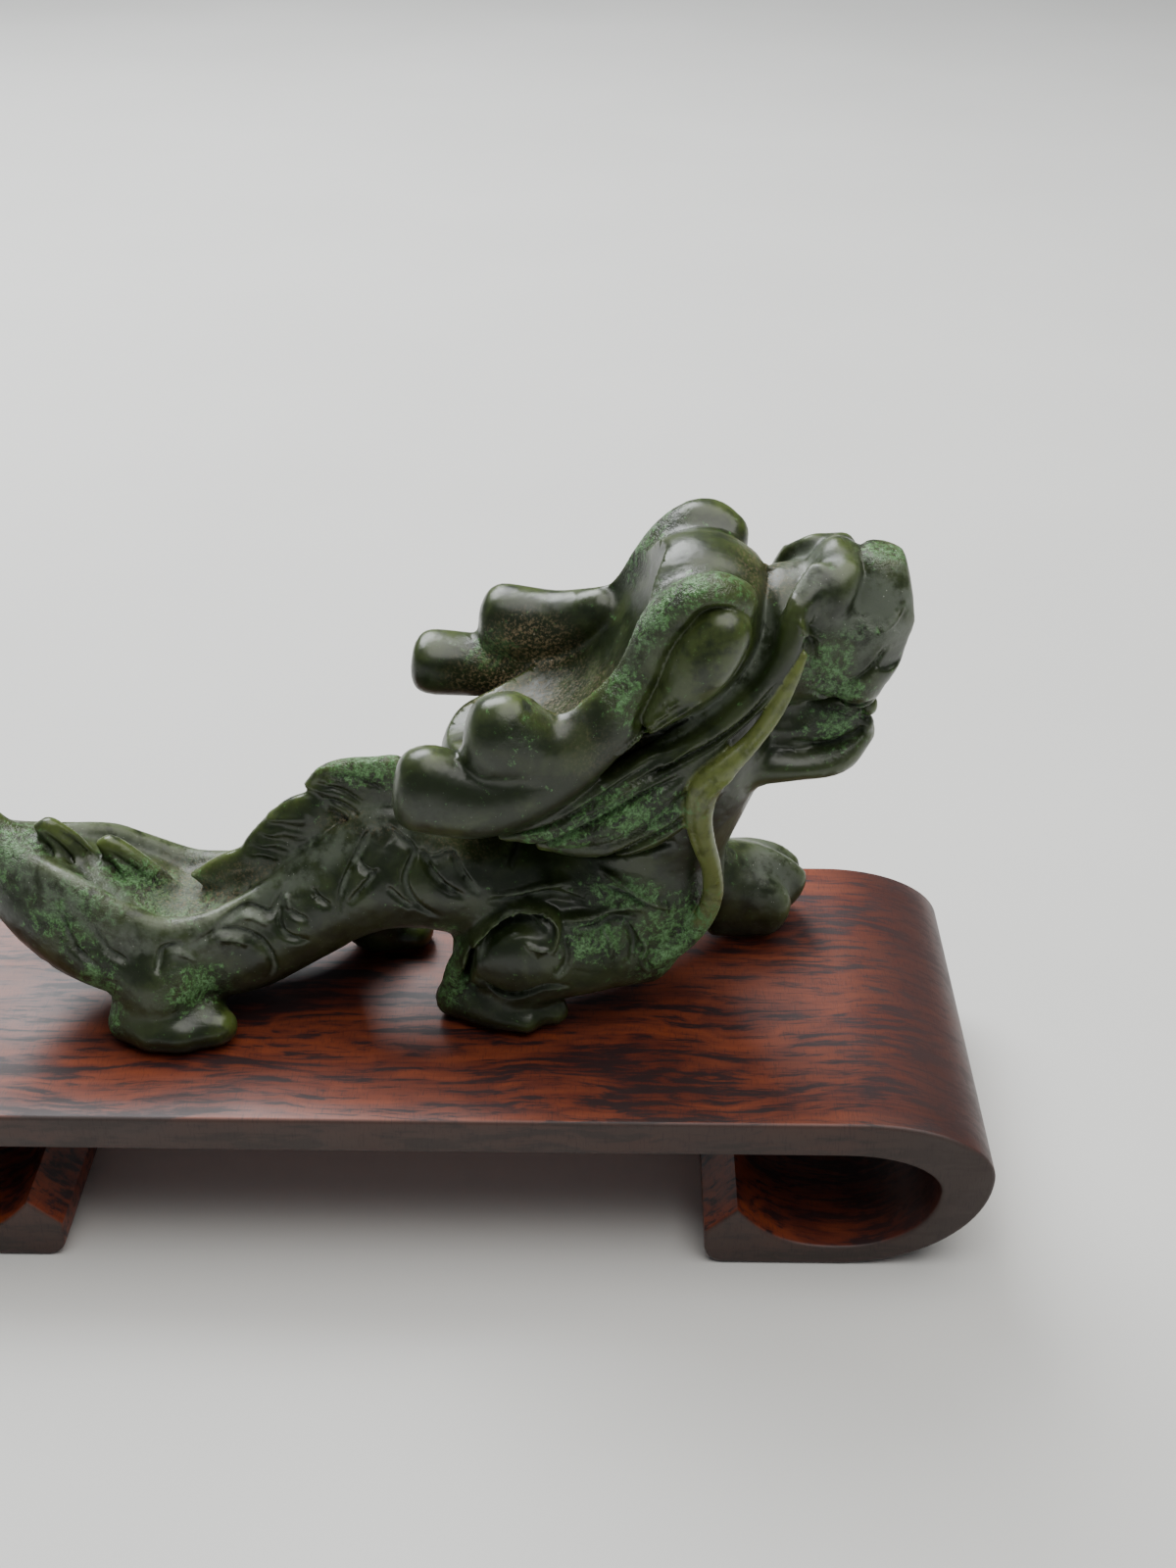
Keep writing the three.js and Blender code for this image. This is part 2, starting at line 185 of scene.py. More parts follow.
NECK_LOCKS = [
    [(40, 9.6, 46, 1.6, 2.4), (29, 12.4, 37.8, 2.4, 2), (19, 13.8, 33.2, 2.4, 2),
     (10.5, 13.4, 32.4, 1.2, 1.2)],
    [(40, 10.4, 42, 1.8, 2.8), (31, 12.6, 34.6, 2.6, 2.8), (24, 13.2, 31.4, 2.6, 2.4),
     (15.4, 12.4, 30.4, 1.2, 1.2)],
    [(39.5, 10.2, 36, 2, 2.4), (33, 11.8, 30.4, 2.4, 2.2), (26, 12, 28.4, 2, 1.6),
     (20, 11, 27.8, 1, 0.9)],
]
BROW = [
    (29.6, 11, 50.2, 1.6, 1.8),
    (32.6, 10.4, 53.8, 2.8, 3),
    (36, 10, 57.8, 3.4, 3.8),
    (39.4, 10.4, 59.8, 3.5, 3.9),
    (42.2, 9.4, 59.4, 2.6, 3),
]
EYE = [
    (40.7, 12, 57, 3.6, 3.5),
    (38.8, 12.6, 54, 3.7, 3.8),
    (36.6, 12.7, 50.4, 3, 2.9),
    (33.4, 12.9, 46.4, 1.4, 1.5),
]
EYE_SOCKET = [
    (41, 14.4, 57.4, 3.6, 4.6),
    (38.9, 14.8, 54, 3.7, 4.9),
    (36.5, 14.6, 50.2, 3.1, 4),
    (33, 14.2, 45.8, 1.6, 2.4),
]
CHEEK = [
    (52, 4.6, 60.8, 1.6, 1.6),
    (50.4, 6.4, 58.6, 1.7, 1.7),
    (49.2, 7.8, 55.4, 1.7, 1.8),
    (47.8, 8.6, 51.8, 1.8, 1.8),
    (45, 9.4, 47.6, 1.8, 1.8),
    (40.6, 10.8, 43.6, 1.5, 1.6),
    (35, 12, 40.2, 1.1, 1.3),
]
MUZZLE = [
    (46, 50.6, 8, 8.6),
    (53, 51.4, 7.2, 9),
    (57, 52.6, 6.2, 9),
]
NOSTRIL_HUMP = [
    (52.6, 4.6, 54.6, 1.6, 1.8),
    (53, 4.4, 57.2, 2.9, 3),
    (54, 4.2, 58.8, 3.1, 2.9),
    (55.4, 3.6, 60.2, 2.2, 2.2),
]
UPPER_LIP = [
    (60.6, 3, 54.4, 3, 3.4),
    (59.2, 3.2, 50, 3.2, 3.4),
    (57.6, 3.4, 46, 3, 3),
]
JAW = [
    (43, 35.4, 7.5, 4.4),
    (51, 35, 6.4, 2.8),
    (56, 35.4, 5.2, 2.7),
    (59, 37.8, 3, 1.8),
]
MOUTH_CORE = [
    (46, 40, 5.2, 5),
    (53, 40.2, 4.4, 4.4),
    (56.4, 40.6, 3.2, 4),
]
BARBEL = [
    (50.4, 8.8, 52.6, 0.59, 0.59),
    (49.2, 9.6, 50, 0.84, 0.92),
    (47.4, 10.2, 46, 0.92, 1.09),
    (45, 10.8, 42.4, 1.01, 1.18),
    (42, 12.4, 39.8, 1.09, 1.51),
    (39.4, 13.4, 37.2, 1.18, 1.85),
    (38.8, 13, 33.2, 1.18, 1.68),
    (39.4, 12, 29, 1.09, 1.51),
    (40.6, 10.8, 24.4, 1.01, 1.26),
    (41, 9.8, 19.6, 1.01, 1.34),
    (39.8, 9.4, 15.2, 1.01, 1.34),
    (37, 10, 11.8, 1.01, 1.26),
    (34, 10.8, 10.2, 1.18, 1.26),
]
# Flats left by the saw, in pairs: a place, the way the flat faces, and how far around it reaches
CURL_FLATS = [
    ((10.9, 15, 46), (-0.96, 0.1, 0.24), 8),
    ((14.6, 13, 50.2), (-0.1, -0.3, 0.95), 8),
]
LOCK_FLATS = [
    ((2.4, 14, 40), (-0.99, 0.1, 0.1), 7),
    ((5, 12.6, 43.5), (0, -0.3, 0.95), 6),
]
MUZZLE_FLATS = [
    ((60, 2, 62.3), (0.2, 0, 0.98), 5),
    ((63.6, 2, 58), (0.97, 0, 0.22), 6),
    ((60.8, 6, 57.6), (0.42, 0.86, 0.3), 4.6),
    ((61.6, 5.2, 53), (0.62, 0.76, -0.2), 4),
    ((53, 6.6, 61), (-0.3, 0.5, 0.81), 4),
]
# Swellings and one hollow: the middle, then half-length, half-width and half-height
SKULL = (38.8, MID_Y, 50.6, 10.4, 11, 13)
NOSE_TIP = (59.6, MID_Y, 57.2, 4.8, 5.4, 5.8)
NOSE_BRIDGE = (54.8, MID_Y, 57.4, 3.8, 5, 6)
MOUTH_HOLLOW = (50, 6.4, 42.2, 3.4, 2.6, 2)
LOWER_TOOTH = (59.4, 1.6, 39.6, 1, 1.2, 1.3)
UPPER_TOOTH = (59.6, 2, 42.4, 1, 1.2, 1.4)
LIP_LOBE = (59, 3.4, 51, 2.6, 2.2, 4.2)
SNOUT_KNOB = (54.4, 5.6, 52.2, 1.6, 1.3, 1.8)
# Each leg is a few limbs that run together, its own y in each row
NEAR_FORELEG = [
    [(33, -5, 9.4, 4, 5), (25, -7.6, 10.8, 4.4, 6), (17, -9, 11.2, 4, 5.6), (12, -9, 9.5, 2.6, 3.4)],
    [(13, -7, 13, 2, 2), (9.4, -7.3, 8, 1.8, 1.8), (8, -6.5, 2.5, 1.8, 1.8)],
    [(15, -4, 14.6, 2.4, 3), (12.2, -4, 9, 2.6, 4), (11, -4, 4, 2, 3)],
    [(25, -7, 9, 4, 4), (17, -7.4, 5.6, 4, 3.6), (12, -7, 3, 3.4, 2.6)],
    [(8, -6.5, 1.8, 2.2, 2), (14, -8.8, 2, 3, 2.2), (18, -10.3, 1.6, 2.2, 1.6)],
    [(15, -7.6, 2, 2.4, 2), (21.3, -8.6, 1.7, 1.9, 1.7)],
]
NEAR_HIND_LEG = [
    [(-27, -5, 9, 6, 5), (-28.6, -8.6, 7.4, 6.6, 6), (-29, -9.4, 3.6, 6, 5.8)],
    [(-33, -9.8, 2, 5, 2.6), (-27, -10.8, 1.9, 5.4, 2.6), (-23.4, -11, 1.8, 4.6, 2.4)],
    [(-31, -12, 2.2, 3.2, 2.8), (-29, -14.4, 2, 2.7, 2.2)],
    [(-27.6, -12, 2.2, 3.2, 2.7), (-25.4, -14.4, 2, 2.9, 2.3)],
    [(-23.6, -11.6, 2.4, 2.8, 2.8), (-21.4, -13.2, 2.2, 2.6, 2.4)],
]
FAR_HIND_LEG = [
    [(-22, 3, 10, 6, 6), (-11, 6.6, 8.6, 5, 5), (-3.5, 8.6, 4, 4, 4)],
    [(-4, 8.8, 2, 3.8, 2.6), (2, 9, 1.7, 3.4, 2.2)],
]
FAR_FORELEG = [
    [(30, 7, 12, 6, 7), (39, 11.5, 9.6, 5, 5.6), (46.5, 14.6, 6.6, 5.4, 5.4)],
    [(43, 10, 5.4, 2.4, 4.8), (47.6, 10.4, 5, 2.4, 4.8), (50.2, 10.6, 4, 2.3, 3.9)],
    [(44, 14.2, 6.8, 2.4, 4.8), (49, 14.5, 6.6, 2.4, 4.8), (52, 14.7, 4.7, 2.3, 4.4)],
    [(44, 18.2, 6, 2.4, 4.6), (49, 18.7, 5.6, 2.4, 4.6), (51.8, 18.9, 4.2, 2.3, 4)],
]

# ---- Lines drawn in both flanks: points in x and z, then width and depth ----
#
# A line whose depth is below zero is raised instead.

FLANK_LINES = [
    ([(-21.6, 15), (-19, 16.5), (-16.8, 17.2), (-14.2, 16.4), (-13.2, 17.8), (-11.8, 20.4)], 1, 0.8),
    ([(-24.4, 13.2), (-21.2, 14.8), (-18.8, 14.9), (-16.4, 13.8), (-14.8, 12), (-14.2, 9),
      (-15.6, 6.6)], 0.9, 0.7),
    ([(-28, 11), (-27.4, 13.4), (-24.8, 14)], 0.9, 0.8),
    ([(-12.8, 18.2), (-13.2, 15.4), (-12.2, 13.6), (-9.6, 12.8)], 0.9, 0.8),
    ([(-9, 19.6), (-8, 18.5), (-6.6, 17.9)], 0.8, 0.7),
    ([(-12, 17), (-11, 16.2), (-9.6, 15.8)], 0.8, 0.7),
    ([(-3.2, 23.2), (-2.2, 22.3), (-0.9, 21.9)], 0.8, 0.7),
    ([(-0.3, 22.6), (-2, 20.6), (-4.3, 18)], 0.9, 0.8),
    ([(-1.1, 27), (-2.4, 24.9), (-4.9, 20.4), (-5.4, 16.6)], 1, 0.7),
    ([(0.4, 27.2), (2, 26), (3.9, 24.4), (2.8, 21.4), (4.1, 18.2), (7.2, 15.8)], 1, 0.8),
    ([(0.6, 20.6), (2, 19), (3.8, 17.4)], 0.8, 0.6),
    ([(4.8, 25), (5.8, 22.6), (7.8, 20.4), (10.2, 19.2)], 1.1, 0.8),
    ([(3.9, 24.4), (6.4, 23.8), (8.6, 24.4), (10, 22), (12.2, 19.4)], 0.9, 0.8),
    ([(-40, 17.6), (-38.6, 14), (-35.4, 11)], 1, 0.7),
    ([(-36, 17), (-34.4, 13.4), (-31.6, 11.6)], 0.9, 0.6),
]
RIDGE_TEETH = [
    ([(-18.4, 16.8), (-16.2, 16.4), (-14.4, 15.2)], 0.9, -0.7),
    ([(-20.6, 14.2), (-18.4, 13.8), (-16.8, 12.6)], 0.8, -0.5),
    ([(-13, 19.4), (-12, 18.2), (-11.6, 16.8)], 0.8, -0.6),
    ([(-26.4, 13.2), (-24.6, 12.8), (-23, 11.4)], 0.8, -0.5),
]
SHOULDER_LINES = [
    ([(11.2, 13.3), (10.4, 9), (9.6, 6.5)], 1, 2),
    ([(11.9, 11.6), (13.2, 14.4), (15.6, 15.9), (18, 16.4), (20.2, 15.8)], 1.2, 1),
    ([(9.9, 9), (10.7, 12.4), (12.3, 15), (14.8, 17.1), (17.1, 17.9), (19.8, 17.9), (21.7, 16.9),
      (21.7, 15), (20.9, 13.4)], 0.8, -1),
    ([(17.6, 14.9), (19.4, 14.2), (21, 14)], 0.5, -0.5),
    ([(22.6, 15.8), (22.9, 12.6), (21.6, 10)], 0.8, 0.5),
    ([(13.4, 19.4), (16.8, 19.7), (20.6, 20.4), (24, 20.6)], 0.8, -0.6),
    ([(13, 18.4), (16.8, 18.7), (21, 19.2), (25.4, 18.4)], 0.8, 0.8),
    ([(22, 16.9), (24, 17), (26.5, 17.2), (28.4, 18), (30.6, 18.4), (33.2, 18)], 0.9, -0.8),
    ([(23.6, 15.6), (26.4, 15.6), (28.8, 16.5), (31.6, 16.8)], 0.9, 0.8),
    ([(26.8, 16.4), (28.4, 14), (28.6, 12)], 0.7, -0.5),
    ([(30, 16.4), (31.2, 13.8), (30.9, 10.6)], 0.8, 0.8),
    ([(31.6, 15), (32.8, 12.8), (32.3, 10.4), (33.6, 8.2)], 0.8, -0.7),
    ([(26.6, 22.6), (28.7, 22), (31, 20.6), (32.7, 19.4), (34.9, 18.4), (36.5, 17.6)], 0.9, -0.8),
    ([(27.6, 20.6), (30.4, 19.8), (33.6, 18.6)], 0.7, 0.7),
    ([(11.4, 9.4), (13.4, 7.2), (15.9, 6.3), (18.3, 7.2), (20.4, 8.4), (23.7, 8.2)], 0.9, 0.9),
    ([(15.4, 21.9), (16.6, 25.5), (13.7, 28.3)], 0.9, 0.7),
]
# The three broad lines that part the face from the neck, the cheek from the nose, and the jaw
FACE_LINES = [
    ([(46.8, 60.5), (46.2, 57.4), (45.9, 54.4), (44.6, 51.4), (42, 48.4), (38.4, 45.4), (33, 42.4),
      (27, 38.6)], 2.3, 1.5),
    ([(51, 58.6), (50.8, 55.4), (51.8, 52.4), (51.4, 49.8)], 0.9, 0.4),
    ([(50, 38.6), (54, 37.6), (57.6, 38.2), (59.4, 39.8)], 0.8, 0.6),
]
CHEEK_LINES = [
    ([(50.6, 44), (54, 43.8), (57.6, 44.2), (60, 44.8)], 0.8, 0.7),
    ([(47.6, 50), (44.6, 46), (40.4, 42.8), (34, 39.6), (27, 36.2)], 0.8, 0.9),
    ([(41.5, 46.6), (37, 43.4), (31, 41)], 0.6, 0.6),
    ([(38.4, 50), (35.8, 48), (32.4, 44.8), (28.4, 42)], 0.7, -0.6),
    ([(49.6, 57.4), (51, 55), (52.8, 53.6)], 0.8, -0.6),
    ([(57.6, 62.4), (57.2, 59.4), (56.2, 56.4)], 1.6, 0.4),
    ([(62.6, 57.6), (60.6, 55), (58.8, 54.4), (56.8, 55.6)], 0.7, -0.5),
]
NECK_LINES = [
    ([(11.1, 31), (13.9, 30), (17.4, 31.7), (22.1, 33.5), (25.6, 35.7), (30.2, 38.7), (34.7, 41.7)],
     1, 1.1),
    ([(16.2, 28.9), (19.5, 29.2), (23.2, 31.5), (27.9, 34), (32.5, 36.8), (37.1, 39.1)], 1, 1.2),
    ([(19.1, 26.3), (22, 25.8), (26.8, 26.7), (31.4, 29.6), (36.1, 32), (37.8, 33.8)], 0.9, 1),
    ([(22.6, 24.5), (26.7, 24.4), (31.5, 26.1), (36.2, 28.1)], 1.1, 1.1),
    ([(24, 33.6), (29, 36.6), (34, 39.8), (39.6, 44)], 0.5, -0.5),
    ([(26, 30.2), (31, 32.6), (36, 35.6)], 0.5, -0.5),
]
LASH_LINES = [
    ([(36, 50.2), (34.4, 48.6)], 0.5, -0.5),
    ([(34.8, 48.6), (33.2, 47)], 0.5, -0.5),
    ([(33.6, 47), (32, 45.4)], 0.5, -0.5),
]
MOUTH_LINES = [
    ([(56, 47), (58.6, 49.4), (60.6, 52.6)], 0.7, 0.6),
    ([(52, 46.8), (54.4, 44.6), (58, 45.2)], 0.7, 0.5),
]
BARBEL_LINES = [
    ([(49.4, 49.6), (46.6, 44.4), (43.6, 40.8)], 0.4, 0.3),
    ([(40.8, 39.4), (38.2, 36), (38.2, 31), (39.8, 25.6)], 0.4, 0.35),
    ([(43, 38.6), (40.2, 37), (39.2, 34)], 0.5, -0.5),
]
FIN_LINES = [
    ([(-8.8, 31.6), (-5.6, 31.4), (-2.4, 29.4)], 0.5, 0.6),
    ([(-7.6, 30), (-5.4, 29.4), (-3, 27.8)], 0.5, 0.6),
    ([(-7.4, 32.8), (-3.4, 33), (0.4, 31.4)], 0.5, 0.6),
    ([(-7, 28.2), (-5.4, 27.4), (-4, 26.4)], 0.5, 0.5),
    ([(-15, 26.8), (-12, 27.4), (-8.8, 27)], 0.7, -0.5),
    ([(-15.8, 25), (-12.7, 25.4), (-9.6, 24.8)], 0.7, -0.5),
    ([(-16.6, 23.5), (-13.8, 23.8), (-11.4, 22.8)], 0.6, -0.5),
    ([(-17.8, 21.9), (-15.6, 22.4), (-12.8, 21.4)], 0.6, -0.5),
    ([(-35.4, 22.4), (-32.4, 19.8), (-30.8, 18)], 0.5, 0.5),
    ([(-35.6, 20.8), (-33.6, 18.4), (-32.2, 16.8)], 0.5, 0.5),
    ([(-43, 25), (-40.6, 22.4), (-38.4, 18.8)], 0.5, 0.6),
    ([(-43, 23.4), (-41.4, 20.6), (-39.6, 17.6)], 0.5, 0.6),
    ([(-41.6, 25.4), (-39.2, 23), (-37, 20)], 0.5, 0.5),
    ([(-54, 27.8), (-51, 25.6), (-48, 22)], 0.5, 0.6),
    ([(-63, 29.2), (-60.4, 27.4), (-57.6, 24)], 0.5, 0.6),
]

# ---- The block and the carver's tools ----

BLOCK_LOW = (-75.6, -19, -0.6)
BLOCK_HIGH = (66, 24, 65)
LATTICE_STEP = 0.3
# Farther off than anything on the block
FAR = 50
# How far around a form the block is worked, so that its fillets have room
SKIRT = 4
# How much the skin's small faces are merged where the stone is nearly flat
FLATNESS = 0.08
CURVE_STEPS = 6
# The spine's first rows turn back on themselves at the tip of the tail
TAIL_TIP_ROWS = 2
NEVER_ZERO = 1e-4

FIN_EDGE = 0.7
FIN_THICK = 1.7
FIN_SWELL = 0.5
FIN_ROUND = 0.5
FIN_FILLET = 0.9
FIN_STEPS = 4
FIN_ROOM = 6

# Out from the spine, fins and their flutes end here and the flank's lines begin
FIN_REACH = 2.4
# The back ridges' teeth begin here
RIDGE_REACH = 6
# The burr cuts narrower and deeper than the lines are laid out
DRAWN_WIDTH = 0.7
DRAWN_DEPTH = 1.2
LINE_FADE = 4
LINE_SHARPNESS = 1.3


def smooth(rows, per_span=CURVE_STEPS):
    """Points along the smooth curve through rows of numbers, with both ends carried straight on."""
    rows = np.array(rows, np.float32)
    held = np.vstack([2 * rows[:1] - rows[1:2], rows, 2 * rows[-1:] - rows[-2:-1]])
    points = []
    for before, start, stop, after in zip(held, held[1:], held[2:], held[3:]):
        for on in np.arange(per_span) / per_span:
            points.append(0.5 * (2 * start + (stop - before) * on
                                 + (2 * before - 5 * start + 4 * stop - after) * on ** 2
                                 + (3 * start - before - 3 * stop + after) * on ** 3))
    return np.array(points + [rows[-1]], np.float32)


def centred(rows):
    """Rows in the head's middle plane, given without their y."""
    return [(x, MID_Y, *rest) for x, *rest in rows]


def paired(rows, side):
    """One of a left and right pair, from rows with the distance out from the middle in place of y."""
    return [(x, MID_Y + side * out, *rest) for x, out, *rest in rows]


def spine_y(x):
    """How far to the side the spine runs at a given x."""
    path = smooth(SPINE)[TAIL_TIP_ROWS * CURVE_STEPS:]
    return np.interp(x, path[:, 0], path[:, 1])


def beside_spine(rows, side):
    """One of a left and right pair, from rows with the distance out from the spine in place of y."""
    return [(x, spine_y(x) + side * out, *rest) for x, out, *rest in rows]


def outside_round(distances, sizes):
    """How far outside an ellipsoid each place is, from its distances along the three half-axes."""
    shares = [distance / size for distance, size in zip(distances, sizes)]
    share = np.sqrt(sum(each ** 2 for each in shares))
    slope = np.sqrt(sum((each / size) ** 2 for each, size in zip(shares, sizes)))
    return share * (share - 1) / np.maximum(slope, NEVER_ZERO)


def outside_stretch(x, y, z, start, stop):
    """How far outside a short elliptical stretch of a limb each place is."""
    way = stop[:3] - start[:3]
    length = np.linalg.norm(way)
    ahead = way / length
    up = np.cross((0, -1, 0), ahead)
    up /= np.linalg.norm(up)
    side = np.cross(ahead, up)
    dx, dy, dz = x - start[0], y - start[1], z - start[2]
    on, across, rise = (dx * axis[0] + dy * axis[1] + dz * axis[2] for axis in (ahead, side, up))
    spot = np.clip(on / length, 0, 1)
    width = start[3] + spot * (stop[3] - start[3])
    height = start[4] + spot * (stop[4] - start[4])
    return outside_round((across, rise, on - spot * length), (width, height, np.minimum(width, height)))


def beside(x, z, start, stop):
    """How far along a straight stretch each place lies, from 0 to 1, and how far away from it."""
    way = stop - start
    on = np.clip(((x - start[0]) * way[0] + (z - start[1]) * way[1]) / (way @ way), 0, 1)
    return on, np.hypot(x - start[0] - on * way[0], z - start[1] - on * way[1])


def stroke(x, z, path, width):
    """How deep a drawn line is at each place, from 0 to 1: a V that fades out at both ends."""
    deepest = 0
    total = len(path) - 1
    for index, (start, stop) in enumerate(zip(path, path[1:])):
        on, gap = beside(x, z, start, stop)
        fade = np.minimum(1, LINE_FADE * np.minimum(index + on, total - index - on) / total)
        deepest = np.maximum(deepest, np.clip(1 - gap / width, 0, 1) * np.sqrt(fade))
    return deepest ** LINE_SHARPNESS


class Block:
    """The stone: for each point of a lattice, how many millimetres it lies outside the surface."""

    def __init__(self, low, high, step):
        self.low = np.array(low, np.float32)
        self.step = step
        self.sizes = [int((b - a) / step) + 1 for a, b in zip(low, high)]
        self.outside = np.full(self.sizes, FAR, np.float32)
        self.limb_alone = np.full(self.sizes, FAR, np.float32)

    def part_in(self, low, high):
        """The part of the lattice in a box: its slices, and its x, y and z."""
        first = np.clip(np.floor((np.array(low) - self.low) / self.step), 0, self.sizes).astype(int)
        last = np.clip(np.ceil((np.array(high) - self.low) / self.step) + 1, 0, self.sizes).astype(int)
        x, y, z = (start + self.step * np.arange(a, b, dtype=np.float32)
                   for start, a, b in zip(self.low, first, last))
        where = tuple(slice(a, b) for a, b in zip(first, last))
        return where, x[:, None, None], y[None, :, None], z[None, None, :]

    def leave(self, where, form, soft):
        """Leaves a form standing, with a fillet of about the given size where it meets the rest."""
        stone = self.outside[where]
        meet = np.maximum(soft - np.abs(stone - form), 0)
        self.outside[where] = np.minimum(stone, form) - meet ** 2 / (4 * soft)

    def take(self, where, form, soft):
        """Takes a form away, with its rim rounded over."""
        stone = self.outside[where]
        meet = np.maximum(soft - np.abs(stone + form), 0)
        self.outside[where] = np.maximum(stone, -form) + meet ** 2 / (4 * soft)

    def limb(self, rows, soft=1, work=None):
        """Leaves a limb standing along its rows, unless told to take it away."""
        path = smooth(rows)
        bulk = path[:, 3:].max() + SKIRT
        where = self.part_in(path[:, :3].min(0) - bulk, path[:, :3].max(0) + bulk)[0]
        self.limb_alone[where] = FAR
        for start, stop in zip(path, path[1:]):
            near = max(start[3:].max(), stop[3:].max()) + SKIRT
            here, x, y, z = self.part_in(np.minimum(start, stop)[:3] - near,
                                         np.maximum(start, stop)[:3] + near)
            self.limb_alone[here] = np.minimum(self.limb_alone[here],
                                               outside_stretch(x, y, z, start, stop))
        (work or self.leave)(where, self.limb_alone[where], soft)

    def ball(self, swelling, soft=1, work=None):
        """Leaves a swelling standing, unless told to take it away."""
        middle, radii = np.array(swelling[:3]), np.array(swelling[3:])
        bulk = radii.max() + SKIRT
        where, x, y, z = self.part_in(middle - bulk, middle + bulk)
        form = outside_round((x - middle[0], y - middle[1], z - middle[2]), radii)
        (work or self.leave)(where, form, soft)

    def blade(self, outline, middle):
        """Leaves a leaf standing in the spine's plane, thinner towards its edge."""
        path = smooth(outline + outline[:1], FIN_STEPS)
        low, high = path.min(0) - SKIRT, path.max(0) + SKIRT
        where, x, y, z = self.part_in((low[0], middle - FIN_ROOM, low[1]),
                                      (high[0], middle + FIN_ROOM, high[1]))
        edge, inside = FAR, False
        for start, stop in zip(path, path[1:]):
            edge = np.minimum(edge, beside(x, z, start, stop)[1])
            way = stop - start
            crosses = (start[1] > z) != (stop[1] > z)
            lean = way[0] / way[1] if way[1] else 0
            inside = inside ^ (crosses & (x < start[0] + (z - start[1]) * lean))
        edge = np.where(inside, -edge, edge)
        half = FIN_EDGE + np.clip(-edge * FIN_SWELL, 0, FIN_THICK - FIN_EDGE)
        face = np.abs(y - middle) - half + FIN_ROUND
        rim = edge + FIN_ROUND
        corner = np.hypot(np.maximum(face, 0), np.maximum(rim, 0))
        self.leave(where, np.minimum(np.maximum(face, rim), 0) + corner - FIN_ROUND, FIN_FILLET)

    def saw(self, place, facing, reach, soft):
        """Saws a flat: takes away what lies beyond a plane, near one place on it."""
        place, facing = np.array(place), np.array(facing) / np.linalg.norm(facing)
        where, x, y, z = self.part_in(place - reach - 1, place + reach + 1)
        dx, dy, dz = x - place[0], y - place[1], z - place[2]
        beyond = dx * facing[0] + dy * facing[1] + dz * facing[2]
        self.take(where, np.maximum(-beyond, np.sqrt(dx * dx + dy * dy + dz * dz) - reach), soft)

    def dress_soles(self):
        """Cuts away all that hangs below the soles."""
        where, x, y, z = self.part_in(BLOCK_LOW, BLOCK_HIGH)
        self.outside = np.maximum(self.outside, -z)

    def engrave(self, line, width, depth, side, nearest=0, farthest=FAR):
        """Draws a line in one flank, from its x and z, between two distances out from the spine."""
        path = smooth(line)
        (low_x, low_z), (high_x, high_z) = path.min(0) - 2 * width, path.max(0) + 2 * width
        where, x, y, z = self.part_in((low_x, BLOCK_LOW[1], low_z), (high_x, BLOCK_HIGH[1], high_z))
        from_spine = side * (y - spine_y(x))
        marked = (from_spine > nearest) & (from_spine < farthest)
        self.outside[where] += stroke(x, z, path, width) * depth * marked


# ---- Carving the dragon ----


def carve_body(block):
    block.limb(SPINE)
    for side in SIDES:
        block.limb(beside_spine(BACK_RIDGE, side), soft=1.6)
    block.limb([(x, spine_y(x), *rest) for x, *rest in SADDLE], soft=2)
    for outline in FINS:
        block.blade(outline, spine_y(outline[0][0]))


def carve_legs(block):
    for leg in (NEAR_FORELEG, NEAR_HIND_LEG, FAR_HIND_LEG, FAR_FORELEG):
        for rows in leg:
            block.limb(rows, soft=1.6)


def saw_flats(block, flats, side, soft):
    for (x, out, z), (ahead, aside, up), reach in flats:
        block.saw((x, MID_Y + side * out, z), (ahead, side * aside, up), reach, soft)


def carve_mane(block):
    """The neck, the dished mane, and the locks that curl off its edges: the near ones are fuller."""
    block.limb(centred(NECK), soft=3)
    block.limb(centred(MANE), soft=3)
    block.ball(SKULL, soft=3)
    for side in SIDES:
        block.limb(paired(BROW, side), soft=2.4)
        block.limb(paired(UPPER_LOCK, side), soft=1.4)
    block.limb(centred(DISH), soft=0.3, work=block.take)
    for side in SIDES:
        block.limb(paired(UPPER_CURL if side < 0 else FAR_UPPER_CURL, side), soft=0.8)
        saw_flats(block, CURL_FLATS, side, 1.6)
        block.limb(paired(LOWER_LOCK if side < 0 else FAR_LOWER_LOCK, side), soft=0.8)
        saw_flats(block, LOCK_FLATS, side, 1.6)
        for rows in NECK_LOCKS:
            block.limb(paired(rows, side), soft=0.5)


def carve_face(block):
    block.limb(centred(MUZZLE), soft=2)
    block.limb(centred(JAW), soft=1.2)
    block.limb(centred(MOUTH_CORE), soft=0.6)
    block.ball(NOSE_TIP, soft=1)
    block.ball(NOSE_BRIDGE, soft=1)
    for side in SIDES:
        block.limb(paired(EYE_SOCKET, side), soft=0.8, work=block.take)
        block.limb(paired(EYE, side), soft=0.3)
        for rows in (CHEEK, NOSTRIL_HUMP, UPPER_LIP):
            block.limb(paired(rows, side), soft=1)
        saw_flats(block, MUZZLE_FLATS, side, 0.6)
        for hollow in paired([MOUTH_HOLLOW], side):
            block.ball(hollow, soft=0.8, work=block.take)
        for swelling in paired([LOWER_TOOTH, UPPER_TOOTH, LIP_LOBE, SNOUT_KNOB], side):
            block.ball(swelling, soft=0.5)


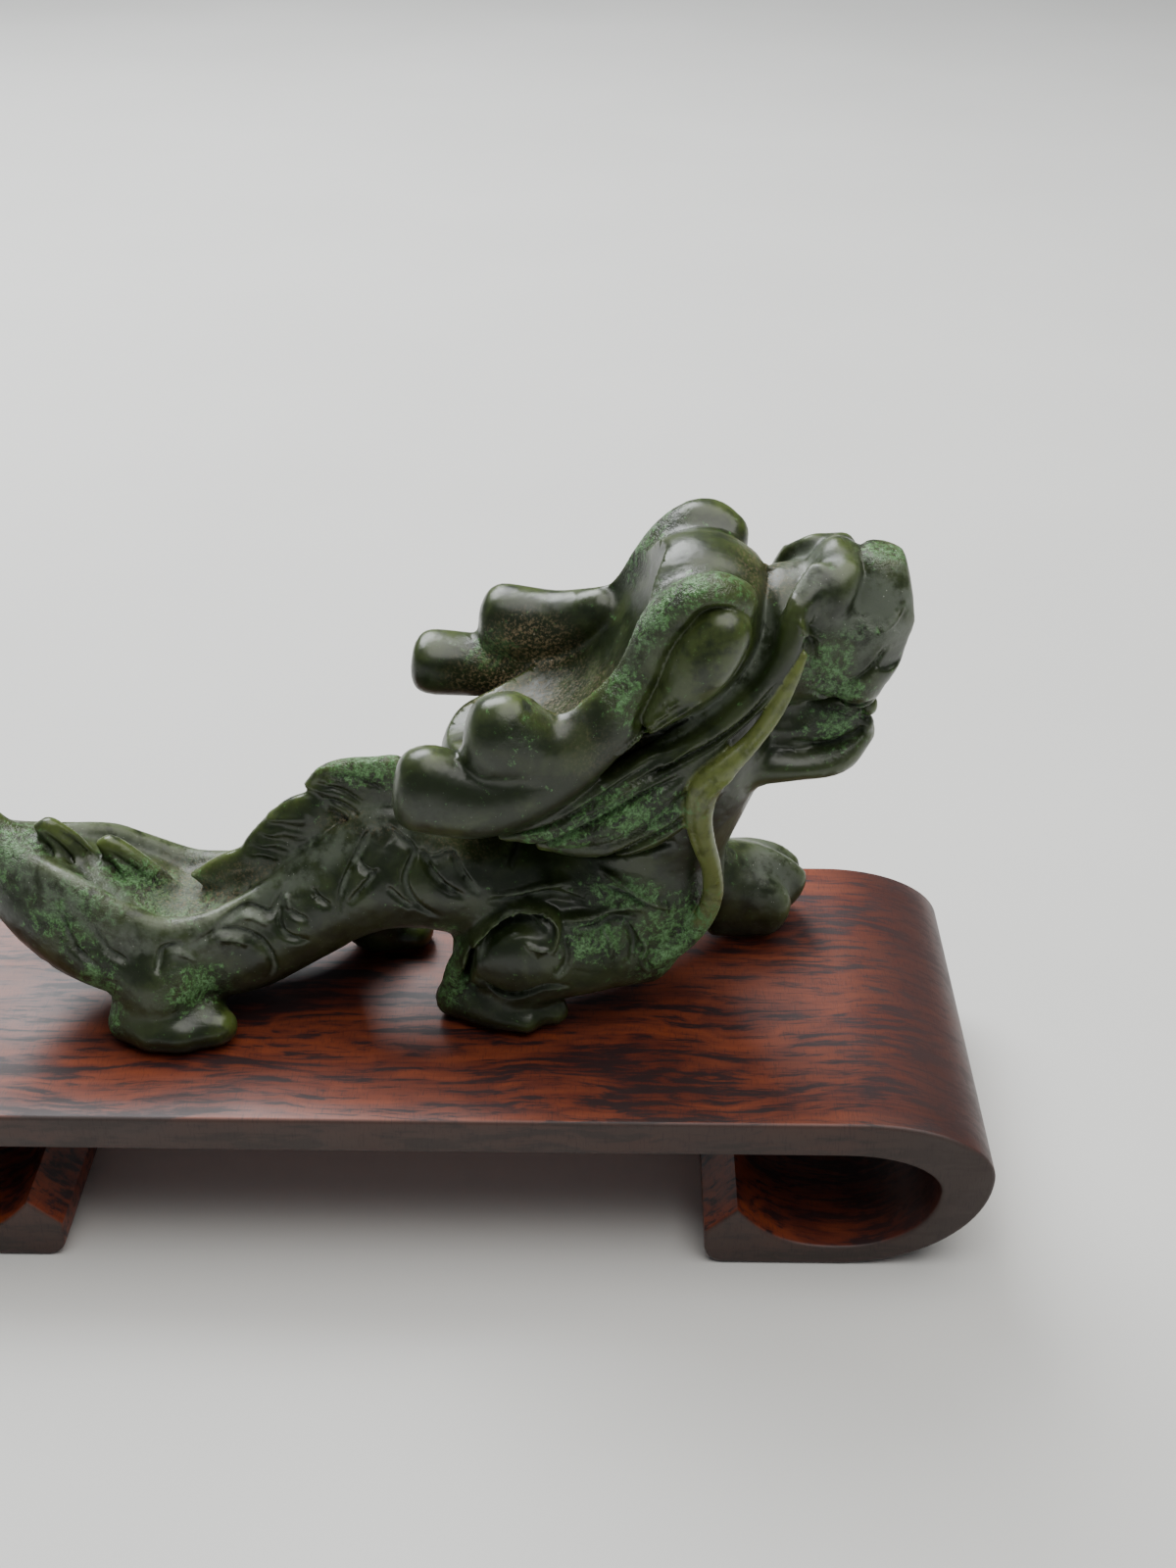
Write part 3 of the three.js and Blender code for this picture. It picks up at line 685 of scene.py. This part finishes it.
def draw_lines(block):
    for side in SIDES:
        for points, width, depth in FLANK_LINES:
            block.engrave(points, width * DRAWN_WIDTH, depth * DRAWN_DEPTH, side, FIN_REACH)
        for points, width, depth in RIDGE_TEETH:
            block.engrave(points, width, depth, side, RIDGE_REACH)
        for lines in (SHOULDER_LINES, FACE_LINES, CHEEK_LINES, NECK_LINES, LASH_LINES, MOUTH_LINES):
            for points, width, depth in lines:
                block.engrave(points, width * DRAWN_WIDTH, depth * DRAWN_DEPTH, side)
        for points, width, depth in FIN_LINES:
            block.engrave(points, width, depth * DRAWN_DEPTH, side, 0, FIN_REACH)


def carve_barbels(block):
    for side in SIDES:
        block.limb(paired(BARBEL, side), soft=0.3)
        for points, width, depth in BARBEL_LINES:
            block.engrave(points, width, depth, side)


def carved_dragon():
    block = Block(BLOCK_LOW, BLOCK_HIGH, LATTICE_STEP)
    carve_body(block)
    carve_legs(block)
    carve_mane(block)
    carve_face(block)
    draw_lines(block)
    carve_barbels(block)
    block.dress_soles()
    return block


def skin(block):
    """The stone's surface: its corners in lattice steps, then its three- and four-sided faces."""
    grid = openvdb.FloatGrid(FAR)
    grid.copyFromArray(block.outside)
    spots, threes, fours = grid.convertToPolygons(0, FLATNESS)
    return spots, threes.tolist() + fours.tolist()


def sample(field, spots):
    """The value of a lattice field at spots given in lattice steps."""
    cell = np.clip(spots.astype(int), 0, np.array(field.shape) - 2)
    part = spots - cell
    total = 0
    for corner in np.ndindex(2, 2, 2):
        share = np.prod(np.where(corner, part, 1 - part), axis=1)
        at = cell + corner
        total = total + share * field[at[:, 0], at[:, 1], at[:, 2]]
    return total


def true_normals(block, spots):
    """Which way the surface faces at each spot, from the stone itself rather than from the mesh."""
    step = 0.75
    slopes = [sample(block.outside, spots + shift) - sample(block.outside, spots - shift)
              for shift in np.eye(3) * step]
    normals = np.stack(slopes, axis=1)
    return normals / np.maximum(np.linalg.norm(normals, axis=1, keepdims=True), NEVER_ZERO)


# ---- What the surface is like from place to place ----

# Each patch: x, y, z, then how far it reaches along x, y and z. First, swellings of bright green
GREEN_PATCHES = [
    (35, -9, 57, 5, 5, 4.5),
    (38.6, -10, 61.4, 6, 5, 3.6),
    (43.6, -9, 58, 2.4, 4, 3),
    (30.6, -11, 50, 3, 3, 4),
    (30, -11, 34, 7, 4, 3.4),
    (22, -11, 31, 5, 4, 2.4),
    (38, -8, 12, 7, 6, 7),
    (26.6, -11, 14.4, 4, 4, 2.6),
    (30, -9, 20, 5, 4, 2),
    (-27, -4, 15.6, 7, 5, 3),
    (-33, -3, 18, 5, 4, 3),
    (-38, -9, 17, 6, 4, 4),
    (-48, -4, 22, 5, 4, 4),
    (-36, -14, 6, 3, 5, 6),
    (-24, -12, 8, 4, 4, 3),
    (-1, -1, 34, 6, 3, 2.4),
    (60.4, 1, 62.4, 3, 3, 2),
    (57.6, -4, 54.4, 2.6, 2, 1.4),
    (53.6, -5, 50.6, 3, 3, 3.6),
    (55.4, -4, 46.6, 3, 3, 2),
    (56, -4, 40.6, 4, 4, 3.6),
    (17, -12, 46, 3, 4, 3),
    (13, 11, 43, 3.4, 4, 2.6),
    (8, -7, 7, 3, 4, 6),
    (-66, 0, 25, 6, 5, 5),
    (35, 14, 57, 6, 5, 5),
    (27, 14, 33, 8, 4, 3.4),
    (36, 12, 14, 7, 6, 6),
    (-8, 8, 16, 5, 4, 4),
    (-26, 8, 12, 7, 5, 4),
]
# Where the stone is painted lighter grey-green and made rougher: painted sheen where the light falls on
# these places
SHEEN_PLACES = [
    (60, -2, 57, 6, 7, 6),
    (27, -5, 57, 6, 7, 6),
    (-26, -3, 15, 7, 5, 3),
    (52, 1, 60, 4, 6, 3),
    (26, 14, 68, 8, 6, 5),
    (-36, -8, 19, 7, 3, 3),
    (50, 14, 9, 6, 7, 4),
]
# Where brown dust has gathered
DUSTY_PLACES = [
    (19, 0, 40, 8, 11, 5),
    (13, 10, 39, 5, 5, 4),
    (46, 1, 60.6, 3.2, 8, 2.6),
    (11, -6, 27, 5, 4, 3),
    (0, -1, 26.6, 8, 3, 1.6),
    (-14, -1, 19, 8, 3, 2),
    (-25, -2, 15, 7, 6, 3),
    (24, -4, 43, 7, 8, 5),
    (20, -5, 45, 6, 7, 6),
    (18, 11, 44, 5, 4, 4),
    (17, 7, 40, 7, 6, 3),
]
# The barbels' light stone starts at the first height above the soles and is full at the second
BARBEL_START, BARBEL_FULL = 11, 16
# How far the stone is averaged, in lattice steps, to tell edges and to tell thin forms
EDGE_SPREAD = 2
THIN_SPREAD = 6
# The share of a line's width that the burr leaves dull
LINE_BOTTOM = 0.6


def spread(field, reach):
    """The field averaged over a box of the given reach, in lattice steps."""
    for axis in range(3):
        total = np.cumsum(field, axis=axis, dtype=np.float64)
        length = field.shape[axis]
        high = np.minimum(np.arange(length) + reach, length - 1)
        low = np.maximum(np.arange(length) - reach, 0)
        steps = (high - low).reshape([-1 if each == axis else 1 for each in range(3)])
        field = ((np.take(total, high, axis) - np.take(total, low, axis)) / steps).astype(np.float32)
    return field


def within(places, patches):
    """How well inside the nearest of several patches each place is, from 0 to 1.

    A patch is full up to half its reach, and fades out by one and a half times its reach.
    """
    best = np.zeros(len(places))
    for patch in patches:
        away = np.linalg.norm((places - patch[:3]) / np.array(patch[3:]), axis=1)
        best = np.maximum(best, np.clip(1.5 - away, 0, 1))
    return best


def on_lines(places, lines):
    """How near each place is to the bottom of a drawn line, from 0 to 1."""
    best = np.zeros(len(places))
    for points, width, _ in lines:
        path = smooth(points)
        low, high = path.min(0) - 3 * width, path.max(0) + 3 * width
        near = ((places[:, ::2] > low) & (places[:, ::2] < high)).all(axis=1)
        line = stroke(places[near, 0], places[near, 2], path, width * LINE_BOTTOM)
        best[near] = np.maximum(best[near], line)
    return best


def on_limbs(places, limbs):
    """How near each place is to the middle line of the nearest of several limbs, from 0 to 1."""
    best = np.zeros(len(places))
    for rows in limbs:
        path = smooth(rows, per_span=3)
        for start, stop in zip(path, path[1:]):
            way = stop[:3] - start[:3]
            on = np.clip((places - start[:3]) @ way / (way @ way), 0, 1)
            away = np.linalg.norm(places - start[:3] - on[:, None] * way, axis=1)
            best = np.maximum(best, np.clip(2 - away / max(start[3], start[4]), 0, 1))
    return best


def surface_marks(block, places):
    """Named values from 0 to 1 for each place on the surface, for the stone's finish."""
    spots = (places - block.low) / block.step
    # The share of stone around each place is over a half in a hollow, and under it on an edge
    solid = np.clip(0.5 - block.outside / (2 * block.step), 0, 1)
    tight, wide = (sample(spread(spread(solid, reach), reach), spots)
                   for reach in (EDGE_SPREAD, THIN_SPREAD))
    # The burr has dulled the back ridges along their crests
    crests = [(x, out, z + half_height - half_width, half_width, half_width)
              for x, out, z, half_width, half_height in BACK_RIDGE]
    ridge = on_limbs(places, [beside_spine(crests, side) for side in SIDES])
    eye = on_limbs(places, [paired(EYE, side) for side in SIDES])
    barbel = on_limbs(places, [paired(BARBEL, side) for side in SIDES])
    risen = np.clip((places[:, 2] - BARBEL_START) / (BARBEL_FULL - BARBEL_START), 0, 1)
    lines = on_lines(places, FLANK_LINES + SHOULDER_LINES + FACE_LINES + RIDGE_TEETH)
    return {
        "hollow": np.clip((tight - 0.5) * 4 + (wide - 0.52) * 2, 0, 1),
        "edge": np.clip((0.46 - tight) * 5, 0, 1),
        # The eyes count as thin, so they take the painted glow of light through the stone as well
        "thin": np.clip((0.42 - wide) * 5, eye * 0.6, 1),
        # Dull grey along the burred lines and ridge crests is the stone's own; in the sheen places it is
        # painted sheen
        "burr_and_sheen": np.clip(lines * 0.85 + ridge * 0.6, within(places, SHEEN_PLACES) * 0.9, 1),
        "green": within(places, GREEN_PATCHES) * (1 - eye),
        "dust": within(places, DUSTY_PLACES),
        "barbel": barbel * risen,
    }


# ---- Pieces ----


def stand_in(mesh, solid, finish):
    """An object that takes a solid's place and its finish."""
    piece = bpy.data.objects.new(mesh.name, mesh)
    mesh.materials.append(finish)
    bpy.context.scene.collection.objects.link(piece)
    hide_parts(solid)
    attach(piece, "root")


def dragon_piece():
    block = carved_dragon()
    spots, faces = skin(block)
    places = spots * block.step + block.low
    mesh = bpy.data.meshes.new("carved_jade_dragon")
    mesh.from_pydata(places * MM + np.array((STAND_MIDDLE.x, STAND_MIDDLE.y, SOLES)), [], faces)
    for name, values in surface_marks(block, places).items():
        mark = mesh.attributes.new(name, "FLOAT", "POINT")
        mark.data.foreach_set("value", values.astype(np.float32))
    mesh.shade_smooth()
    mesh.normals_split_custom_set_from_vertices(true_normals(block, spots).tolist())
    stand_in(mesh, "jade_dragon", jade_finish())


# The stand's section: its waist is where the scrolls reach farthest out
BOARD_UNDER = 18
WAIST = 14.3
SHOULDER_REACH = 17
FOOT_REACH = 19
SCROLL_MIDDLE = (57.5, 12.2)
SCROLL_REACH = 12
SCROLL_FLOOR = 2.9
TONGUE_TIP = (44.5, 9)
TONGUE_BEAK = [(40.5, 4.2), (40.5, 5.3), (42.5, 7.15)]
TOO_CLOSE = 0.05

# The arris where the section meets the side faces, in rings: how far in from the side face, and
# how far in from the surface, as shares of its size
ARRIS = 0.55
ARRIS_RINGS = [(0, 1), (0.08, 0.62), (0.3, 0.3), (0.62, 0.08), (1, 0)]
PLAIN_RINGS = 8
PLAIN_MARGIN = 4
SHARP_CORNER = math.radians(32)


def bow(middle, radii, start, stop, count=22):
    """Points along part of an ellipse, in degrees."""
    return [(middle[0] + radii[0] * math.cos(angle), middle[1] + radii[1] * math.sin(angle))
            for angle in np.radians(np.linspace(start, stop, count))]


def bend(start, pull_a, pull_b, stop, count):
    """Points along a curve pulled towards two places."""
    return [tuple((1 - t) ** 3 * a + 3 * (1 - t) ** 2 * t * b + 3 * (1 - t) * t * t * c + t ** 3 * d
                  for a, b, c, d in zip(start, pull_a, pull_b, stop)) for t in np.linspace(0, 1, count)]


def stand_section():
    """The stand's section in x and z: a board whose ends roll under into scrolls with beaked tongues."""
    scroll_x, scroll_z = SCROLL_MIDDLE
    half = [(x, BOARD_TOP) for x in np.linspace(4, 56, 14)]
    half += bow((HALF_LENGTH - SHOULDER_REACH, WAIST), (SHOULDER_REACH, BOARD_TOP - WAIST), 90, 0)
    half += bow((HALF_LENGTH - FOOT_REACH, WAIST), (FOOT_REACH, WAIST), 0, -90)[1:]
    half += bend((43.5, 0), (41.5, 0), (40.5, 1), (40.5, 3), 8)
    half += TONGUE_BEAK
    half += bend(TONGUE_TIP, (48.5, 3.9), (52.5, SCROLL_FLOOR), (scroll_x, SCROLL_FLOOR), 16)
    half += bow(SCROLL_MIDDLE, (SCROLL_REACH, scroll_z - SCROLL_FLOOR), -90, 0)[1:]
    half += bow(SCROLL_MIDDLE, (SCROLL_REACH, BOARD_UNDER - scroll_z), 0, 90)[1:]
    half += [(x, BOARD_UNDER) for x in np.linspace(52, 4, 13)]
    path = half + [(-x, z) for x, z in reversed(half)]
    kept = [path[0]]
    for point in path[1:]:
        if math.dist(point, kept[-1]) > TOO_CLOSE:
            kept.append(point)
    return np.array(kept)


def drawn_in(section, depth):
    """The section drawn in towards its inside."""
    ahead = np.roll(section, -1, axis=0) - section
    behind = section - np.roll(section, 1, axis=0)
    way = sum(each / np.linalg.norm(each, axis=1, keepdims=True) for each in (ahead, behind))
    way /= np.linalg.norm(way, axis=1, keepdims=True)
    return section + np.stack([way[:, 1], -way[:, 0]], axis=1) * depth


def stand_piece():
    section = stand_section()
    count = len(section)
    rings = [(-HALF_WIDTH + ARRIS * aside, ARRIS * inward) for aside, inward in ARRIS_RINGS]
    plain = np.linspace(-HALF_WIDTH + PLAIN_MARGIN, HALF_WIDTH - PLAIN_MARGIN, PLAIN_RINGS)
    rings = rings + [(y, 0) for y in plain] + [(-y, inward) for y, inward in reversed(rings)]
    places = [(x, y, z) for y, inward in rings for x, z in drawn_in(section, inward)]
    faces = []
    for ring in range(len(rings) - 1):
        here, ahead = ring * count, (ring + 1) * count
        for spot in range(count):
            after = (spot + 1) % count
            faces.append((ahead + spot, ahead + after, here + after, here + spot))
    faces += [tuple(range(count)), tuple(reversed(range(len(places) - count, len(places))))]
    mesh = bpy.data.meshes.new("scrolled_rosewood_stand")
    mesh.from_pydata(np.array(places) * MM + np.array((STAND_MIDDLE.x, STAND_MIDDLE.y, STAND_LOW.z)),
                     [], faces)
    mesh.shade_smooth()
    mesh.set_sharp_from_angle(angle=SHARP_CORNER)
    stand_in(mesh, "rosewood_stand", rosewood_finish())


# ---- Finishes ----


class Wire:
    """A value in a material; arithmetic on it adds Math nodes."""

    def __init__(self, finish, socket):
        self.finish = finish
        self.socket = socket

    def maths(self, operation, *values):
        return self.finish.node("ShaderNodeMath", {"operation": operation}, dict(enumerate(values)))

    def __add__(self, other):
        return self.maths("ADD", self, other)

    def __sub__(self, other):
        return self.maths("SUBTRACT", self, other)

    def __rsub__(self, other):
        return self.maths("SUBTRACT", other, self)

    def __mul__(self, other):
        return self.maths("MULTIPLY", self, other)

    def __abs__(self):
        return self.maths("ABSOLUTE", self)

    __radd__ = __add__
    __rmul__ = __mul__

    def above(self, low, high):
        """0 below the low value, 1 above the high one, and a smooth rise between.

        With the higher value first, it is a smooth fall instead.
        """
        return self.finish.node("ShaderNodeMapRange", {"interpolation_type": "SMOOTHSTEP"},
                                {"Value": self, "From Min": low, "From Max": high})


class Finish:
    """A material on one Principled shader, whose plain values are set when it is made."""

    def __init__(self, name, plain):
        self.material = bpy.data.materials.new(name)
        self.material.use_nodes = True
        self.tree = self.material.node_tree
        self.shader = self.tree.nodes["Principled BSDF"]
        for socket, value in plain.items():
            self.shader.inputs[socket].default_value = value

    def node(self, kind, settings, sockets, output=0):
        node = self.tree.nodes.new(kind)
        for setting, value in settings.items():
            setattr(node, setting, value)
        for key, value in sockets.items():
            if isinstance(value, Wire):
                self.tree.links.new(value.socket, node.inputs[key])
            else:
                node.inputs[key].default_value = value
        return Wire(self, node.outputs[output])

    def place(self, stretch=(1, 1, 1)):
        """The place on the piece, in millimetres, each way divided by a stretch."""
        here = self.node("ShaderNodeTexCoord", {}, {}, "Object")
        return self.node("ShaderNodeVectorMath", {"operation": "MULTIPLY"},
                         {0: here, 1: [1 / (MM * size) for size in stretch]})

    def moved(self, place, way):
        return self.node("ShaderNodeVectorMath", {"operation": "ADD"}, {0: place, 1: way})

    def mark(self, name):
        """One of the values that the mesh carries."""
        return self.node("ShaderNodeAttribute", {"attribute_name": name}, {}, "Fac")

    def noise(self, where, scale, detail=2, roughness=0.5, distortion=0):
        return self.node("ShaderNodeTexNoise", {}, {"Vector": where, "Scale": scale, "Detail": detail,
                                                    "Roughness": roughness, "Distortion": distortion})

    def grains(self, where, scale, output="Distance"):
        return self.node("ShaderNodeTexVoronoi", {"feature": "F1"},
                         {"Vector": where, "Scale": scale}, output)

    def mix(self, share, first, second):
        """The first colour, or the second by its share."""
        first, second = (value if isinstance(value, Wire) else (*value, 1) for value in (first, second))
        return self.node("ShaderNodeMix", {"data_type": "RGBA"}, {0: share, 6: first, 7: second}, 2)

    def bump(self, height, distance, strength=1, normal=None):
        sockets = {"Height": height, "Distance": distance * MM, "Strength": strength}
        if normal:
            sockets["Normal"] = normal
        return self.node("ShaderNodeBump", {}, sockets)

    def feed(self, socket, value):
        self.tree.links.new(value.socket, self.shader.inputs[socket])


POLISHED_STONE = (0.01, 0.017, 0.004)
CLOUDY_STONE = (0.034, 0.048, 0.015)
MOSSY_STONE = (0.042, 0.08, 0.026)
# Painted light shining through thin stone, along convex edges and in the eyes
LIT_THROUGH_STONE = (0.07, 0.098, 0.02)
# The burr's real dull grey, also used as painted sheen
BURR_AND_SHEEN_STONE = (0.092, 0.11, 0.08)
BRIGHT_GREEN = (0.075, 0.19, 0.055)
PALE_GREEN = (0.17, 0.32, 0.15)
BARBEL_STONE = (0.12, 0.145, 0.036)
STONE_DUST = (0.24, 0.18, 0.1)
GLINT = (0.5, 0.52, 0.45)


def jade_finish():
    """Dark nephrite: polished cells, burr-dulled lines and ridges, green granules, brown dust, painted
    light through thin forms and edges, and painted sheen where the stone catches the light.
    """
    jade = Finish("jade", {"IOR": 1.52, "Subsurface Weight": 0.1, "Subsurface Radius": (0.5, 1, 0.3),
                           "Subsurface Scale": 0.0012})
    here = jade.place()
    hollow, thin, burr_and_sheen = jade.mark("hollow"), jade.mark("thin"), jade.mark("burr_and_sheen")
    green = jade.mark("green")
    clouds = jade.noise(here, 0.16, 4, 0.6, 0.4)
    veins = jade.noise(here, 0.45, 4, 0.62)
    grain = jade.noise(here, 2.6, 3, 0.7)
    flecks = jade.noise(here, 0.9, 4, 0.75, 0.3)

    stone = jade.mix(clouds.above(0.42, 0.66), POLISHED_STONE, CLOUDY_STONE)
    # Thin forms, convex edges and the eyes are painted lighter olive: painted light shining through the
    # stone
    lit_through = (thin * 0.9 + jade.mark("edge") * 0.36) * veins.above(0.3, 0.6)
    stone = jade.mix(lit_through, stone, LIT_THROUGH_STONE)
    barbel = jade.mark("barbel").above(0.6, 0.95) * (0.55 + veins.above(0.36, 0.54) * 0.45)
    stone = jade.mix(barbel, stone, BARBEL_STONE)

    stone = jade.mix(green * veins.above(0.42, 0.62) * 0.8, stone, MOSSY_STONE)
    granules = green * 0.22 + flecks
    stone = jade.mix(granules.above(0.62, 0.7) * grain.above(0.3, 0.6), stone, BRIGHT_GREEN)
    stone = jade.mix(granules.above(0.7, 0.78) * grain.above(0.42, 0.66) * 0.7, stone, PALE_GREEN)

    # Lighter grey-green: the burr's real dulling on lines, ridges and hollows, and painted sheen in the
    # sheen places
    dull_and_sheen = (burr_and_sheen * 0.85 + hollow * 0.3) * veins.above(0.25, 0.6)
    stone = jade.mix(dull_and_sheen.above(0.13, 0.86), stone, BURR_AND_SHEEN_STONE)
    dust = jade.mark("dust") * (0.5 + hollow * 0.8) * grain.above(0.46, 0.66)
    stone = jade.mix(dust, stone, STONE_DUST)
    chosen = jade.node("ShaderNodeSeparateColor", {}, {"Color": jade.grains(here, 3.2, "Color")})
    specks = chosen.above(0.94, 0.97) * (1 - jade.grains(here, 3.2).above(0.1, 0.28))
    stone = jade.mix(specks * (0.06 + dull_and_sheen + dust), stone, GLINT)
    jade.feed("Base Color", stone)

    smears = jade.noise(here, 0.3, 3, 0.6)
    jade.feed("Roughness", 0.22 + smears * 0.2 + dull_and_sheen * 0.26 + dust * 0.3 + green * 0.08)
    ripple = jade.bump(jade.noise(here, 0.35, 2, 0.5), 0.25, 0.6)
    lumps = jade.bump(flecks * green, 0.6, 1, ripple)
    chatter = jade.noise(here, 3.4, 2, 0.6) * (0.12 + dull_and_sheen)
    jade.feed("Normal", jade.bump(chatter, 0.05, 0.7, lumps))
    return jade.material


WARM_WOOD = (0.2, 0.04, 0.012)
RED_WOOD = (0.07, 0.012, 0.007)
DARK_STREAK = (0.016, 0.005, 0.006)
# Painted shade at the scrolled ends
SCROLL_SHADE = (0.035, 0.013, 0.011)
# Painted shade on the side faces
SHADED_SIDE_WOOD = (0.037, 0.024, 0.019)


def rosewood_finish():
    """Oiled rosewood: grain along the board, feathery dark streaks, short pores, and painted shade on
    the scrolled ends and the side faces.
    """
    wood = Finish("rosewood", {"IOR": 1.5, "Coat Weight": 0.08, "Coat Roughness": 0.3})
    here = wood.place()
    drift = wood.noise(wood.place((26, 12, 12)), 1, 3)
    sway = wood.node("ShaderNodeCombineXYZ", {}, {"Y": drift * 6, "Z": drift * 3})
    bands = wood.noise(wood.moved(wood.place((11, 1.15, 1.6)), sway), 1, 4, 0.65, 0.2)
    broad = wood.noise(wood.moved(wood.place((42, 6, 8)), sway), 1, 2)
    feather = wood.noise(wood.place((2.2, 0.4, 0.8)), 1, 3, 0.7)

    colour = wood.mix((broad * 0.7 + bands * 0.5).above(0.48, 0.78), RED_WOOD, WARM_WOOD)
    streaks = (bands + (feather - 0.5) * 0.34 + (broad - 0.5) * 0.5).above(0.5, 0.38)
    colour = wood.mix(streaks * 0.92, colour, DARK_STREAK)
    lengthways = wood.node("ShaderNodeSeparateXYZ", {}, {"Vector": here}, "X")
    sideways = wood.node("ShaderNodeSeparateXYZ", {}, {"Vector": here}, "Y")
    # The ends, where the board rolls under into the scrolls, are painted darker: painted shade away from
    # the light above
    scroll = (abs(lengthways) + (broad - 0.5) * 16).above(HALF_LENGTH - 20, HALF_LENGTH - 6)
    colour = wood.mix(scroll * 0.85, colour, SCROLL_SHADE)
    # The side faces are painted dark grey-brown: painted shade on faces turned away from the light
    # above; they are also made rougher
    side_shade = abs(sideways).above(HALF_WIDTH - 0.5, HALF_WIDTH - 0.1)
    colour = wood.mix(side_shade * (0.7 + bands * 0.3), colour, SHADED_SIDE_WOOD)
    pores = wood.noise(wood.place((0.2, 1.5, 1.5)), 1, 2, 0.6)
    colour = wood.mix(pores.above(0.54, 0.7) * 0.4, colour, DARK_STREAK)
    wood.feed("Base Color", colour)

    handling = wood.noise(here, 0.12, 3)
    wood.feed("Roughness", 0.38 + streaks * 0.06 + side_shade * 0.15 + handling * 0.14)
    waves = wood.bump(wood.noise(wood.place((9, 1.2, 1.2)), 1, 3), 0.06, 0.5)
    wood.feed("Normal", wood.bump(pores, 0.03, 0.5, waves))
    return wood.material


# ---- Camera, floor and lights ----

AIM = Vector((25.4, 0, 54)) * MM
VIEW_DISTANCE = 244.6 * MM
VIEW_DOWN = math.radians(31.54)
VIEW_TURN = math.radians(-0.91)
FLOOR_REACH = 3
PALE_FLOOR = (0.62, 0.62, 0.6)
PALER_FLOOR = (0.7, 0.7, 0.68)
STUDIO_AIR = (0.86, 0.9, 0.94, 1)
LIT_PLACE = Vector((0, 0, 0.03))


def set_camera():
    camera = bpy.data.objects.new("camera", bpy.data.cameras.new("camera"))
    camera.data.lens = 45
    camera.data.sensor_width = 36
    camera.data.clip_start = 0.01
    camera.rotation_euler = (math.pi / 2 - VIEW_DOWN, 0, -VIEW_TURN)
    ahead = Vector((math.sin(VIEW_TURN) * math.cos(VIEW_DOWN), math.cos(VIEW_TURN) * math.cos(VIEW_DOWN),
                    -math.sin(VIEW_DOWN)))
    camera.location = AIM - VIEW_DISTANCE * ahead
    bpy.context.scene.collection.objects.link(camera)
    bpy.context.scene.camera = camera


def lay_floor():
    mesh = bpy.data.meshes.new("floor")
    corners = [(x * FLOOR_REACH, y * FLOOR_REACH, 0) for x, y in ((-1, -1), (1, -1), (1, 1), (-1, 1))]
    mesh.from_pydata(corners, [], [(0, 1, 2, 3)])
    finish = Finish("pale_floor", {"Roughness": 0.7})
    clouds = finish.noise(finish.place(), 0.01, 4)
    finish.feed("Base Color", finish.mix(clouds, PALE_FLOOR, PALER_FLOOR))
    mesh.materials.append(finish.material)
    floor = bpy.data.objects.new("floor", mesh)
    bpy.context.scene.collection.objects.link(floor)


def softbox(name, place, size, power, colour):
    light = bpy.data.lights.new(name, "AREA")
    light.energy = power
    light.size = size
    light.color = colour
    lamp = bpy.data.objects.new(name, light)
    lamp.location = place
    lamp.rotation_euler = (LIT_PLACE - Vector(place)).to_track_quat("-Z", "Y").to_euler()
    bpy.context.scene.collection.objects.link(lamp)


def fill_with_air(strength):
    world = bpy.data.worlds.new("studio")
    world.use_nodes = True
    air = world.node_tree.nodes["Background"]
    air.inputs["Color"].default_value = STUDIO_AIR
    air.inputs["Strength"].default_value = strength
    bpy.context.scene.world = world


dragon_piece()
stand_piece()
set_camera()
lay_floor()
softbox("window", (-0.3, 0.55, 0.7), 0.55, 12, (0.96, 0.98, 1))
softbox("ceiling", (0.2, -0.05, 0.9), 1, 11, (1, 0.98, 0.95))
fill_with_air(0.2)
